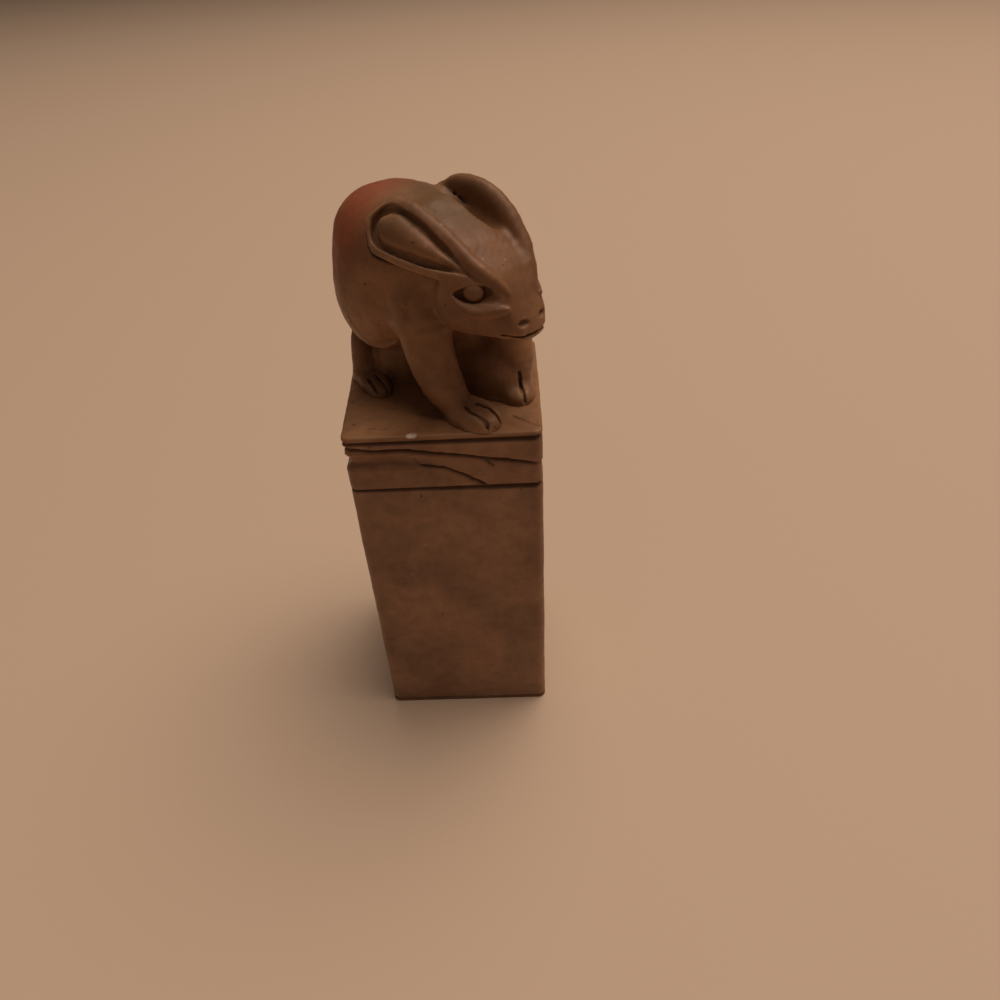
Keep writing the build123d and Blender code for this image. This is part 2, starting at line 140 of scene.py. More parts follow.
STONE_SUBSURFACE = 0.18
STONE_GLOW_DEPTH = 0.0011
STONE_GLOW_COLOUR = (1.0, 0.46, 0.22)
STONE_SHINE = 0.26
WAX, WAX_ROUGHNESS = 0.05, 0.34
SCRATCHES = {"Strength": 0.30, "Distance": 0.00006}
PITS = {"Strength": 0.18, "Distance": 0.00004}
CLOUD_SCALE = 95.0
SPECK_SCALE = 700.0
GRAIN_SCALE = 2600.0
DRIFT_COLOUR = (0.150, 0.100, 0.048, 1)
FLUSH_COLOUR = (0.320, 0.088, 0.042, 1)
OLIVE_COLOUR = (0.150, 0.088, 0.034, 1)
MOTTLE_COLOUR = (0.115, 0.060, 0.032, 1)
DARK_SPECK_COLOUR = (0.055, 0.028, 0.018, 1)
PALE_SPECK_COLOUR = (0.46, 0.31, 0.20, 1)
# Grime together with painted shade, in cuts and hollows
GRIME_AND_SHADE_COLOUR = (0.052, 0.029, 0.019, 1)
# Pale of rubbed edges, and painted highlights on edges and corners
RUBBED_AND_HIGHLIT_COLOUR = (0.36, 0.225, 0.135, 1)
BRUISE_COLOUR = (0.62, 0.50, 0.41, 1)


def mixed(tree, amount, first, second):
    """Two colours mixed by an amount."""
    given = {0: amount, 6: first, 7: second}
    return node(tree, "ShaderNodeMix", given, data_type="RGBA").outputs[2]


def ranged(tree, value, low, high, out_low=0.0, out_high=1.0):
    """A value taken smoothly from one range to another."""
    ramp = node(
        tree,
        "ShaderNodeMapRange",
        {"Value": value, "From Min": low, "From Max": high, "To Min": out_low, "To Max": out_high},
        interpolation_type="SMOOTHSTEP",
    )
    return ramp.outputs["Result"]


def times(tree, first, second):
    """The product of two numbers."""
    return node(tree, "ShaderNodeMath", {0: first, 1: second}, operation="MULTIPLY").outputs[0]


def noise(tree, place, scale, detail=3.0, distortion=0.0, roughness=0.5):
    """The value of a noise texture at a place."""
    texture = node(
        tree,
        "ShaderNodeTexNoise",
        {
            "Vector": place,
            "Scale": scale,
            "Detail": detail,
            "Distortion": distortion,
            "Roughness": roughness,
        },
    )
    return texture.outputs["Fac"]


def attribute(tree, name):
    """A number kept with each point of the carving."""
    return node(tree, "ShaderNodeAttribute", attribute_name=name).outputs["Fac"]


def stone_colour(tree, place, fine, grime, light, dark):
    """The stone's own clouds and specks, then grime and painted shade, rubbing and painted
    highlights, and bruises, each over the last.
    """
    cloud = noise(tree, place, CLOUD_SCALE, detail=4.0, distortion=0.6)
    drift = noise(tree, place, CLOUD_SCALE * 0.45, detail=2.0, distortion=1.2)
    specks = node(tree, "ShaderNodeTexVoronoi", {"Vector": place, "Scale": SPECK_SCALE})
    few = ranged(tree, noise(tree, place, SPECK_SCALE * 0.8, detail=1.0), 0.60, 0.66)
    spot = times(tree, ranged(tree, specks.outputs["Distance"], 0.20, 0.10), few)
    fleck = noise(tree, place, SPECK_SCALE * 1.3, detail=1.0)
    rubbed = times(tree, attribute(tree, "rubbed"), ranged(tree, fine, 0.25, 0.60, 0.3, 1.0))
    colour = mixed(tree, ranged(tree, cloud, 0.36, 0.64), dark, light)
    for amount, layer in (
        (ranged(tree, drift, 0.50, 0.72, 0, 0.55), DRIFT_COLOUR),
        (attribute(tree, "flush"), FLUSH_COLOUR),
        (attribute(tree, "olive"), OLIVE_COLOUR),
        (ranged(tree, fine, 0.30, 0.75, 0, 0.34), MOTTLE_COLOUR),
        (times(tree, spot, 0.65), DARK_SPECK_COLOUR),
        (ranged(tree, fleck, 0.775, 0.80, 0, 0.45), PALE_SPECK_COLOUR),
        # Grime and painted shade in cuts and hollows
        (times(tree, grime, 0.70), GRIME_AND_SHADE_COLOUR),
        # Rubbing and painted highlights on edges
        (times(tree, rubbed, 0.5), RUBBED_AND_HIGHLIT_COLOUR),
        (attribute(tree, "bruise"), BRUISE_COLOUR),
    ):
        colour = mixed(tree, amount, colour, layer)
    return colour


def stone(name, light, dark, roughness, stretch=(1, 1, 1)):
    """The stone, with its colours and the direction of the rubbing on its surface."""
    material = bpy.data.materials.new(name)
    material.use_nodes = True
    tree = material.node_tree
    place = node(tree, "ShaderNodeTexCoord").outputs["Object"]
    fine = noise(tree, place, CLOUD_SCALE * 6.0, detail=6.0, roughness=0.62)
    grime = attribute(tree, "grime")
    sheen = noise(tree, place, CLOUD_SCALE * 3.0, detail=3.0)
    worn = ranged(tree, sheen, 0.3, 0.7, roughness - 0.06, roughness + 0.10)
    rough = node(tree, "ShaderNodeMath", {0: worn, 1: times(tree, grime, 0.25)}, operation="ADD")
    stretched = node(tree, "ShaderNodeMapping", {"Vector": place, "Scale": stretch})
    rubbing = noise(tree, stretched.outputs["Vector"], GRAIN_SCALE * 0.35, detail=4.0)
    grain = noise(tree, place, GRAIN_SCALE, detail=2.0)
    scratches = node(tree, "ShaderNodeBump", {"Height": rubbing, **SCRATCHES}).outputs["Normal"]
    pits = node(tree, "ShaderNodeBump", {"Height": grain, "Normal": scratches, **PITS})
    looks = {
        "Base Color": stone_colour(tree, place, fine, grime, light, dark),
        "Roughness": rough.outputs[0],
        "Subsurface Weight": STONE_SUBSURFACE,
        "Subsurface Scale": STONE_GLOW_DEPTH,
        "Subsurface Radius": STONE_GLOW_COLOUR,
        "Specular IOR Level": STONE_SHINE,
        "Coat Weight": WAX,
        "Coat Roughness": WAX_ROUGHNESS,
        "Normal": pits.outputs["Normal"],
    }
    feed(tree, tree.nodes["Principled BSDF"], looks)
    return material


# The block. One sawn length of stone, ground flat on a wet slab and waxed. Its left side
# splays a little, its upright edges are rounded by hand, and its foot is slightly chipped.
# The rounded upright edges carry a painted highlight.

CORNERS = np.array(((-11.9, -12.5), (13.3, -12.5), (13.3, 12.5), (-13.3, 12.5)))
CORNER_RADIUS = 1.1
CORNER_STEPS = 7
RELIEF_TOP = 0.7
SHAFT_TOP = 44.4
BAND_TOP = 51.7
SLAB_TOP = 52.7
COARSE_SPACING, FINE_SPACING = 0.30, 0.21  # from point to point round the plan
GROOVE_HALF_WIDTHS = (0.36, 0.56)  # at the left and right end of each side
GROOVE_STEEPNESS, GROOVE_ROUNDING = 0.95, 0.02
DARKEST_GROOVE_DEPTH = 0.30  # how deep a groove is where its grime and painted shade are darkest
CORNER_HIGHLIGHT_SHARE = 0.045  # how far from a corner the painted highlight of its rounding reaches
WALL_WEAR, WALL_SWELLS = 0.045, ((0.035, 11.0, 5), (0.012, 2.6, 6))
FOOT_WEAR_HEIGHT = 0.6
# Centre and radius of each chip in the block's edges, in millimetres; the first is white
CHIPS = (
    ((-3.0, -12.40, 53.05), 0.78),
    ((-11.75, -12.6, 1.2), 0.75),
    ((-12.0, -12.2, 2.9), 0.42),
    ((-12.05, -12.3, 0.6), 0.55),
    ((13.45, -12.65, 30.2), 0.40),
    ((13.5, -12.5, 17.6), 0.34),
    ((13.4, -12.6, 1.0), 0.50),
    ((4.2, -12.8, 0.5), 0.45),
    ((13.6, 4.0, 52.8), 0.55),
    ((-13.5, 12.4, 24.0), 0.50),
    ((-13.4, 12.5, 52.8), 0.70),
    ((13.5, 12.6, 8.5), 0.55),
    ((2.5, 12.9, 0.6), 0.60),
    ((-13.3, -2.0, 0.5), 0.42),
)
WHITE_CHIP_PALENESS, CHIP_PALENESS, CHIP_FADE = 0.9, 0.35, 0.12


def ripple(places, size, seed, waves=9):
    """A smooth unevenness of about 1 either way, with swells of a given size."""
    random = np.random.default_rng(seed)
    total = np.zeros(len(places))
    for _ in range(waves):
        heading = random.normal(size=3)
        heading *= random.uniform(0.6, 1.6) * 2 * math.pi / size / np.linalg.norm(heading)
        total += np.sin(places @ heading + random.uniform(0, 2 * math.pi))
    return total / math.sqrt(waves)


def uneven(places, swells):
    """The unevenness of a worked surface, from rows of height, size and seed."""
    return sum(height * ripple(places, size, seed) for height, size, seed in swells)


def plan_ring(spacing):
    """Points round the block's plan: place, outward direction, side and share along it."""
    runs = np.roll(CORNERS, -1, 0) - CORNERS
    lengths = np.hypot(*runs.T)
    headings = np.arctan2(runs[:, 1], runs[:, 0])
    turns = (headings - np.roll(headings, 1)) % (2 * math.pi)
    reach = CORNER_RADIUS * np.tan(turns / 2)
    rows = []
    for side in range(4):
        after = (side + 1) % 4
        along = runs[side] / lengths[side]
        out = np.array((along[1], -along[0]))
        near = CORNERS[side] + along * reach[side] - out * CORNER_RADIUS
        far = CORNERS[after] - along * reach[after] - out * CORNER_RADIUS
        steps = round(np.hypot(*(far - near)) / spacing)
        bends = [(near, angle) for angle in np.linspace(-turns[side] / 2, 0, CORNER_STEPS)[1:-1]]
        bends += [(near + (far - near) * share, 0.0) for share in np.linspace(0, 1, steps + 1)]
        bends += [(far, angle) for angle in np.linspace(0, turns[after] / 2, CORNER_STEPS)[1:]]
        for centre, angle in bends:
            aim = out * math.cos(angle) + along * math.sin(angle)
            rows.append((*(centre + aim * CORNER_RADIUS), *aim, side))
    rows = np.array(rows)
    places, outward, sides = rows[:, :2], rows[:, 2:4], rows[:, 4].astype(int)
    shares = ((places - CORNERS[sides]) * runs[sides]).sum(1) / (runs[sides] ** 2).sum(1)
    return places, outward, sides, shares


def near_line(places, line):
    """Distance from each place to a line through points."""
    best = np.full(len(places), np.inf)
    for start, end in zip(line, line[1:]):
        start, run = np.array(start), np.array(end) - np.array(start)
        share = np.clip((places - start) @ run / (run @ run), 0, 1)
        best = np.minimum(best, np.linalg.norm(places - start - share[:, None] * run, axis=1))
    return best


def chip_depth(places, aims, centre, radius):
    """How far a place moves inwards to lie on the far wall of a round chip."""
    offset = places - np.array(centre)
    along = (offset * aims).sum(1)
    inside = along**2 - (offset**2).sum(1) + radius**2
    return np.where((offset**2).sum(1) < radius**2, along + np.sqrt(np.maximum(inside, 0)), 0)


def chipped(points, aims, depth):
    """The depth with the chips broken out, and how pale each place is with bruising."""
    bruise = np.zeros(len(points))
    for number, (centre, radius) in enumerate(CHIPS):
        chip = chip_depth(points, aims, centre, radius)
        depth = np.maximum(depth, chip)
        paleness = CHIP_PALENESS if number else WHITE_CHIP_PALENESS
        bruise = np.maximum(bruise, np.clip(chip / CHIP_FADE, 0, 1) * paleness)
    return depth, bruise


def ring_groove(heights, sides, shares, middle):
    """Depth of the V-groove that runs round the block at one height."""
    swing = np.where(sides % 2 == 0, shares, 1 - shares)
    left, right = GROOVE_HALF_WIDTHS
    half = left + (right - left) * np.clip(swing, 0, 1)
    gap = np.abs(heights - middle)
    return np.maximum(0, half - np.sqrt(gap**2 + GROOVE_ROUNDING**2)) * GROOVE_STEEPNESS


def shell_mesh(name, ring, rows, cut, cap_rows=(), cap_cut=None):
    """A closed block of stone: rows of height, inset and tilt round the plan, then its ends."""
    places, outward, sides, shares = ring
    count, middle = len(places), CORNERS.mean(0)
    rings = []
    for height, inset, tilt in rows:
        tilt = math.radians(tilt)
        aims = np.column_stack((outward * math.cos(tilt), np.full(count, math.sin(tilt))))
        points = np.column_stack((places - outward * inset, np.full(count, height)))
        rings.append((points, aims, cut(points, aims, sides, shares)))
    height, inset = rows[-1][:2]
    aims = np.tile((0.0, 0.0, 1.0), (count, 1))
    for share in cap_rows:
        flat = middle + (places - outward * inset - middle) * share
        points = np.column_stack((flat, np.full(count, height)))
        rings.append((points, aims, cap_cut(points, aims)))
    layers = [points - aims * made[0][:, None] for points, aims, made in rings]
    ends = [[(*middle, layer[:, 2].mean())] for layer in (layers[0], layers[-1])]
    points = np.vstack(layers + ends)
    around = np.arange(count)
    after = (around + 1) % count
    low = np.arange(len(layers) - 1)[:, None] * count
    high = low + count
    quads = np.stack((around + low, after + low, after + high, around + high), -1)
    bottom, top = np.full(count, len(points) - 2), np.full(count, len(points) - 1)
    last = (len(layers) - 1) * count
    fans = np.vstack(
        (
            np.column_stack((after, around, bottom)),
            np.column_stack((around + last, after + last, top)),
        )
    )
    mesh = bpy.data.meshes.new(name)
    faces = quads.reshape(-1, 4).tolist() + fans.tolist()
    mesh.from_pydata((points * MM).tolist(), [], faces)
    kinds = zip(*(made[1:] for _, _, made in rings))
    kinds = [np.append(np.concatenate(kind), (0, 0)) for kind in kinds]
    return mesh, dict(zip(("grime", "rubbed", "bruise"), kinds))


def finish_piece(mesh, marks, material, nodes):
    """A mesh in its final place becomes a named piece of the seal."""
    for mark, values in marks.items():
        layer = mesh.attributes.new(mark, "FLOAT", "POINT")
        layer.data.foreach_set("value", np.clip(values, 0, 1).astype(np.float32))
    mesh.polygons.foreach_set("use_smooth", [True] * len(mesh.polygons))
    mesh.materials.append(material)
    piece = bpy.data.objects.new(mesh.name, mesh)
    bpy.context.scene.collection.objects.link(piece)
    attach(piece, "root")
    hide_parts(*nodes)
    return piece


def worn_wall(points, aims, shares):
    """Depth, painted highlights on the rounded corners, and bruises that every wall of the block
    has.
    """
    depth = np.maximum(WALL_WEAR + uneven(points, WALL_SWELLS), 0)
    depth, bruise = chipped(points, aims, depth)
    # Paler near the upright corners: a painted highlight on their rounding.
    corner = np.minimum(shares, 1 - shares)
    rubbed = np.clip(1 - corner / CORNER_HIGHLIGHT_SHARE, 0, 1) ** 1.5 * 0.8
    return depth, rubbed, bruise


def shaft_cut(points, aims, sides, shares):
    """The worn wall, with the lower half of the ring groove at its top."""
    depth, rubbed, bruise = worn_wall(points, aims, shares)
    groove = ring_groove(points[:, 2], sides, shares, SHAFT_TOP)
    foot = np.clip(1 - (points[:, 2] - RELIEF_TOP) / FOOT_WEAR_HEIGHT, 0, 1) * 0.5
    # The groove darkens with grime and painted shade, the more the deeper it is.
    grime = np.clip(groove / DARKEST_GROOVE_DEPTH, 0, 1)
    return np.maximum(depth, groove), grime, np.maximum(rubbed, foot), bruise


# Rows of points up the shaft, closer at its chipped foot and at the groove
heights = [*np.linspace(RELIEF_TOP, 3.6, 16), *np.linspace(3.6, 43.4, 76)[1:]]
heights += [*np.linspace(43.4, SHAFT_TOP, 14)[1:]]
shaft_rows = [(height, 0.0, 0.0) for height in heights]
shaft_mesh, shaft_marks = shell_mesh("shaft", plan_ring(COARSE_SPACING), shaft_rows, shaft_cut)
shaft_stone = stone(
    "ground_stone", (0.375, 0.205, 0.122, 1), (0.265, 0.140, 0.082, 1), 0.42, (1, 1, 0.12)
)
finish_piece(shaft_mesh, shaft_marks, shaft_stone, ["seal_shaft"])

# The printing face. The lower end, cut back with a knife so that a border and four square
# spirals stand up to print. The cuts wander a little, and the stone is left matt here.

FACE_WIDTH, FACE_DEPTH = 25.2, 25.0
RELIEF_BORDER = 1.2
SPIRAL_LINES = 5  # lines met on the way across one spiral
SPIRAL_STEP = (FACE_DEPTH - 2 * RELIEF_BORDER) / (2 * (2 * SPIRAL_LINES - 1) + 3)
RELIEF_SINK = 0.03  # how far the relief runs on into the block
EDGE_WEAR = 0.08
KNIFE_SCALE = 1300.0
BORDER_SWELLS = ((0.02, 2.0, 51),)
BORDER_WEAR = 0.03  # how far the border's outer side stands back from the block's walls


def spiral_line():
    """Middle line of one spiral, from the face's middle outwards and then inwards."""
    reach = (2 * SPIRAL_LINES - 2) * SPIRAL_STEP
    place, heading = np.array((SPIRAL_STEP, SPIRAL_STEP)), np.array((1.0, 0.0))
    points = [place]
    for turn in range(2 * SPIRAL_LINES - 2):
        if turn > 1 and turn % 2:
            reach -= 2 * SPIRAL_STEP
        place = place + heading * reach
        points.append(place)
        heading = np.array((-heading[1], heading[0]))
    points[0] = points[0] - (SPIRAL_STEP / 2, 0)
    last = points[-1] - points[-2]
    points[-1] = points[-1] + last / np.hypot(*last) * SPIRAL_STEP / 2
    return np.array(points)


def bar_section(half):
    """Section of a raised line: the worn printing edge below, its root in the block above."""
    root, worn = RELIEF_TOP + RELIEF_SINK, EDGE_WEAR * 0.35
    right = ((half, root), (half, EDGE_WEAR), (half - worn, worn), (half - EDGE_WEAR, 0.0))
    return [(-across, height) for across, height in right] + list(right[::-1])


def line_object(name, points, closed):
    """A hidden line through points, for geometry nodes to follow."""
    mesh = bpy.data.meshes.new(name)
    edges = [(i, i + 1) for i in range(len(points) - 1)]
    if closed:
        edges.append((len(points) - 1, 0))
    mesh.from_pydata([[v * MM for v in point] for point in points], edges, [])
    made = bpy.data.objects.new(name, mesh)
    bpy.context.scene.collection.objects.link(made)
    return made


def vector(group, operation, first, second):
    """The sum, difference or product of two vectors."""
    given = {0: first, 1: second}
    return node(group, "ShaderNodeVectorMath", given, operation=operation).outputs[0]


def spirals_group():
    """Geometry nodes: sweep the section along the line, wear it, and mirror it to all four."""
    group = bpy.data.node_groups.new("four_spirals", "GeometryNodeTree")
    socket = group.interface.new_socket
    socket("Geometry", in_out="OUTPUT", socket_type="NodeSocketGeometry")
    socket("Geometry", in_out="INPUT", socket_type="NodeSocketGeometry")
    inputs = {}
    for name, kind in (
        ("Section", "NodeSocketObject"),
        ("Corner", "NodeSocketFloat"),
        ("Spacing", "NodeSocketFloat"),
        ("Wear", "NodeSocketFloat"),
        ("Seed", "NodeSocketFloat"),
        ("Stone", "NodeSocketMaterial"),
    ):
        inputs[name] = socket(name, in_out="INPUT", socket_type=kind).identifier
    given = group.nodes.new("NodeGroupInput").outputs
    line = node(group, "GeometryNodeMeshToCurve", {"Mesh": given["Geometry"]}).outputs[0]
    fillet = {"Curve": line, "Radius": given["Corner"], "Count": 3}
    line = node(group, "GeometryNodeFilletCurve", fillet, mode="POLY").outputs[0]
    steps = {"Curve": line, "Length": given["Spacing"]}
    line = node(group, "GeometryNodeResampleCurve", steps, mode="LENGTH").outputs[0]
    line = node(group, "GeometryNodeSetCurveNormal", {"Curve": line}, mode="Z_UP").outputs[0]
    section = node(group, "GeometryNodeObjectInfo", {"Object": given["Section"]})
    section = {"Mesh": section.outputs["Geometry"]}
    section = node(group, "GeometryNodeMeshToCurve", section).outputs[0]
    sweep = {"Curve": line, "Profile Curve": section, "Fill Caps": True}
    bar = node(group, "GeometryNodeCurveToMesh", sweep).outputs[0]
    knife = {"W": given["Seed"], "Scale": KNIFE_SCALE, "Detail": 2.0}
    knife = node(group, "ShaderNodeTexNoise", knife, noise_dimensions="4D").outputs["Color"]
    push = vector(group, "SUBTRACT", knife, (0.5, 0.5, 0.5))
    push = vector(group, "MULTIPLY", push, (1, 1, 0))
    push = node(group, "ShaderNodeVectorMath", {0: push, "Scale": given["Wear"]}, operation="SCALE")
    bar = {"Geometry": bar, "Offset": push.outputs[0]}
    bar = node(group, "GeometryNodeSetPosition", bar).outputs[0]
    for mirror in ((-1, 1, 1), (1, -1, 1)):
        other = {"Geometry": bar, "Scale": mirror}
        other = node(group, "GeometryNodeTransform", other).outputs[0]
        other = node(group, "GeometryNodeFlipFaces", {"Mesh": other}).outputs[0]
        both = group.nodes.new("GeometryNodeJoinGeometry")
        group.links.new(bar, both.inputs[0])
        group.links.new(other, both.inputs[0])
        bar = both.outputs[0]
    bar = node(group, "GeometryNodeRealizeInstances", {"Geometry": bar}).outputs[0]
    bar = {"Geometry": bar, "Material": given["Stone"]}
    bar = node(group, "GeometryNodeSetMaterial", bar).outputs[0]
    group.links.new(bar, group.nodes.new("NodeGroupOutput").inputs[0])
    return group, inputs


def swept_spirals(material):
    """Vertices and faces of the four spirals, as a plain mesh."""
    line = line_object("spiral_line", [(*point, 0) for point in spiral_line()], False)
    half = SPIRAL_STEP / 2
    outline = [(x, -z, 0) for x, z in bar_section(half)[::-1]]
    section = line_object("spiral_section", outline, True)
    group, inputs = spirals_group()
    sweep = line.modifiers.new("sweep", "NODES")
    sweep.node_group = group
    for name, value in (
        ("Section", section),
        ("Corner", 0.30 * MM),
        ("Spacing", 0.32 * MM),
        ("Wear", 0.09 * MM),
        ("Seed", 4.0),
        ("Stone", material),
    ):
        sweep[inputs[name]] = value
    graph = bpy.context.evaluated_depsgraph_get()
    mesh = bpy.data.meshes.new_from_object(line.evaluated_get(graph), depsgraph=graph)
    points = np.array([vertex.co[:] for vertex in mesh.vertices]) / MM
    faces = [list(face.vertices) for face in mesh.polygons]
    line.modifiers.remove(sweep)
    bpy.data.meshes.remove(mesh)
    for used in (line, section):
        bpy.data.objects.remove(used)
    bpy.data.node_groups.remove(group)
    return points, faces


def border_bar(ring):
    """Vertices and faces of the raised border, a closed bar inside the block's plan."""
    places, outward = ring[:2]
    section = bar_section(RELIEF_BORDER / 2)
    count, rows = len(places), len(section)
    points = []
    for across, height in section:
        inset = RELIEF_BORDER / 2 + across
        level = np.full(count, height)
        wobble = uneven(np.column_stack((places, level)), BORDER_SWELLS)
        worn = places - outward * (inset + np.where(across > 0, wobble, BORDER_WEAR))[:, None]
        points.append(np.column_stack((worn, level)))
    faces = []
    for row in range(rows):
        for step in range(count):
            low, high = row * count, (row + 1) % rows * count
            after = (step + 1) % count
            faces.append([low + step, high + step, high + after, low + after])
    return np.vstack(points), faces


face_stone = stone("engraved_stone", (0.255, 0.128, 0.070, 1), (0.165, 0.080, 0.042, 1), 0.62)
spiral_points, spiral_faces = swept_spirals(face_stone)
spiral_points[:, 0] += CORNERS[1:3, 0].mean() - FACE_WIDTH / 2
border_points, border_faces = border_bar(plan_ring(COARSE_SPACING))
relief_points = np.vstack((spiral_points, border_points))
relief_faces = spiral_faces + [[v + len(spiral_points) for v in face] for face in border_faces]
relief_mesh = bpy.data.meshes.new("printing_relief")
relief_mesh.from_pydata((relief_points * MM).tolist(), [], relief_faces)
relief_height = relief_points[:, 2]
relief_marks = {
    # The bars darken towards their roots with grime and painted shade.
    "grime": np.clip((relief_height - 0.25) / 0.4, 0, 1) * 0.7,
    "rubbed": np.clip(1 - relief_height / (EDGE_WEAR * 1.6), 0, 1) * 0.5,
    "bruise": np.zeros(len(relief_points)),
}
finish_piece(relief_mesh, relief_marks, face_stone, ["printing_face"])

# The ring of ledges. Lines and hollows cut with a graver into the block's four sides, so
# that it looks like layered rock; each line undercuts the stone above it.

BAND_HEIGHT = BAND_TOP - SHAFT_TOP
LEDGE_DEPTH = 0.62
LEDGE_FALL = 0.85  # how fast the stone comes forward again below a line, in millimetres
UNDERCUT, SCORE = 0.62, 0.55  # shares of the depth that a line has below it and in itself
UNDERCUT_HEIGHT, SCORE_HEIGHT, LINE_SHADE_HEIGHT = 0.16, 0.34, 0.33
LINE_SWELLS = ((0.010, 3.1, 21), (0.006, 1.3, 22))  # as shares of the band's height
# For each side, lines through points: share along the side, share up the band, strength
LEDGE_LINES = (
    (
        (
            (-0.04, 0.905, 0.9),
            (0.34, 0.825, 1),
            (0.54, 0.72, 1),
            (0.74, 0.60, 1),
            (0.93, 0.50, 0.9),
            (1.00, 0.47, 0),
        ),
        (
            (0.345, 0.61, 0.5),
            (0.385, 0.49, 1),
            (0.50, 0.45, 1),
            (0.60, 0.28, 1),
            (0.68, 0.10, 1),
            (0.73, -0.02, 1),
        ),
        ((0.70, 0.61, 1), (0.755, 0.44, 0.5)),
    ),
    (
        ((-0.04, 0.45, 0.6), (0.22, 0.46, 1), (0.48, 0.66, 1), (0.80, 0.72, 0.8), (1.04, 0.84, 1)),
        ((0.50, 0.62, 0.5), (0.62, 0.36, 1), (0.86, 0.22, 0.8), (0.97, 0.03, 0.6)),
    ),
    (
        ((-0.04, 0.84, 1), (0.26, 0.74, 0.9), (0.52, 0.77, 1), (0.80, 0.60, 1), (1.04, 0.62, 1)),
        ((0.20, 0.70, 0.4), (0.30, 0.44, 1), (0.58, 0.30, 1), (0.76, 0.05, 0.8)),
        ((0.84, 0.57, 0.7), (0.90, 0.34, 0.2)),
    ),
    (
        ((-0.04, 0.62, 1), (0.30, 0.66, 1), (0.62, 0.80, 0.9), (1.04, 0.905, 0.8)),
        ((0.12, 0.05, 0.6), (0.24, 0.30, 1), (0.46, 0.38, 0.8), (0.55, 0.52, 0.3)),
    ),
)
# For each side, one hollow: share along the side, share up the band, strength
COVES = (
    ((-0.04, 0.62, 1), (0.25, 0.60, 0.75), (0.62, 0.55, 0.0)),
    ((0.30, 0.30, 0), (1.04, 0.52, 1)),
    ((-0.04, 0.52, 1), (0.70, 0.50, 0.3)),
    ((0.25, 0.52, 0.3), (1.04, 0.62, 1)),
)
COVE_HALF_HEIGHT, COVE_DEPTH = 1.35, 0.85


def side_cuts(side, share, level):
    """Depth, and grime with painted shade, of the cove and the ledge lines of one side."""
    along, up, strong = np.array(COVES[side]).T
    away = (level - np.interp(share, along, up)) * BAND_HEIGHT / COVE_HALF_HEIGHT
    cuts = np.interp(share, along, strong) * COVE_DEPTH * np.clip(1 - away**2, 0, 1) ** 1.5
    line_grime_and_shade = np.zeros(len(share))
    for line in LEDGE_LINES[side]:
        along, up, strong = np.array(line).T
        inside = (share >= along[0]) & (share <= along[-1])
        strength = np.interp(share, along, strong) * inside
        drop = (np.interp(share, along, up) - level) * BAND_HEIGHT
        above = np.clip(1 + drop / UNDERCUT_HEIGHT, 0, 1)
        undercut = np.where(drop > 0, np.exp(-drop / LEDGE_FALL), above)
        score = np.clip(1 - np.abs(drop) / SCORE_HEIGHT, 0, 1)
        cuts = np.maximum(cuts, strength * LEDGE_DEPTH * (UNDERCUT * undercut + SCORE * score))
        # Grime and painted shade along the line, centred a little below it.
        line_darkening = np.clip(1.25 - np.abs(drop - 0.05) / LINE_SHADE_HEIGHT, 0, 1)
        line_grime_and_shade = np.maximum(line_grime_and_shade, strength * line_darkening)
    return cuts, line_grime_and_shade


def band_cut(points, aims, sides, shares):
    """Ledge lines, coves and both ring grooves, over the worn wall."""
    depth, rubbed, bruise = worn_wall(points, aims, shares)
    level = (points[:, 2] - SHAFT_TOP) / BAND_HEIGHT
    unsteady = level + uneven(points, LINE_SWELLS)
    carved, line_grime_and_shade = np.zeros(len(points)), np.zeros(len(points))
    for side in range(4):
        here = sides == side
        carved[here], line_grime_and_shade[here] = side_cuts(side, shares[here], unsteady[here])
    grooves = [ring_groove(points[:, 2], sides, shares, height) for height in (SHAFT_TOP, BAND_TOP)]
    groove = np.maximum(*grooves)
    # A painted highlight along the lower edge of the upper ring groove.
    groove_lip_highlight = np.clip(1 - np.abs(level - 0.92) / 0.05, 0, 1) * 0.25
    fade = 1 - np.clip(groove / DARKEST_GROOVE_DEPTH, 0, 1)
    # Grime and painted shade in the ledge lines and in the grooves.
    grime = np.clip(np.maximum(line_grime_and_shade, groove / DARKEST_GROOVE_DEPTH), 0, 1)
    return np.maximum(depth + carved * fade, groove), grime, np.maximum(rubbed, groove_lip_highlight), bruise


band_rows = [(height, 0.0, 0.0) for height in np.linspace(SHAFT_TOP, BAND_TOP, 76)]
band_mesh, band_marks = shell_mesh("ledge_band", plan_ring(FINE_SPACING), band_rows, band_cut)
band_stone = stone(
    "ledge_stone", (0.400, 0.212, 0.122, 1), (0.275, 0.140, 0.080, 1), 0.46, (1, 1, 0.3)
)
finish_piece(band_mesh, band_marks, band_stone, ["carved_band"])

# The slab. The flat shelf left over the ledges when the hare was roughed out; its top was
# scraped level between the feet, and its edge is softened and nicked.

SLAB_EDGE = 0.42
TOP_WEAR, TOP_SWELLS = 0.05, ((0.04, 6.0, 31), (0.015, 1.6, 32))
EDGE_STEPS = 7
TOP_CUT_DEEPER = 1.4  # how much deeper a cut is in the top than where it runs over the edge
# Cracks and stray graver cuts in the top of the slab: points and half width
TOP_CUTS = (
    (((9.6, -8.6, 52.7), (10.9, -9.7, 52.7), (12.2, -10.6, 52.7), (13.3, -11.5, 52.6)), 0.16),
    (((-9.5, -10.2, 52.7), (-6.0, -10.6, 52.7)), 0.10),
    (((-11.5, 1.0, 52.7), (-8.0, 5.5, 52.7), (-4.5, 8.0, 52.7)), 0.14),
    (((3.0, 10.6, 52.7), (8.5, 9.6, 52.7)), 0.12),
)


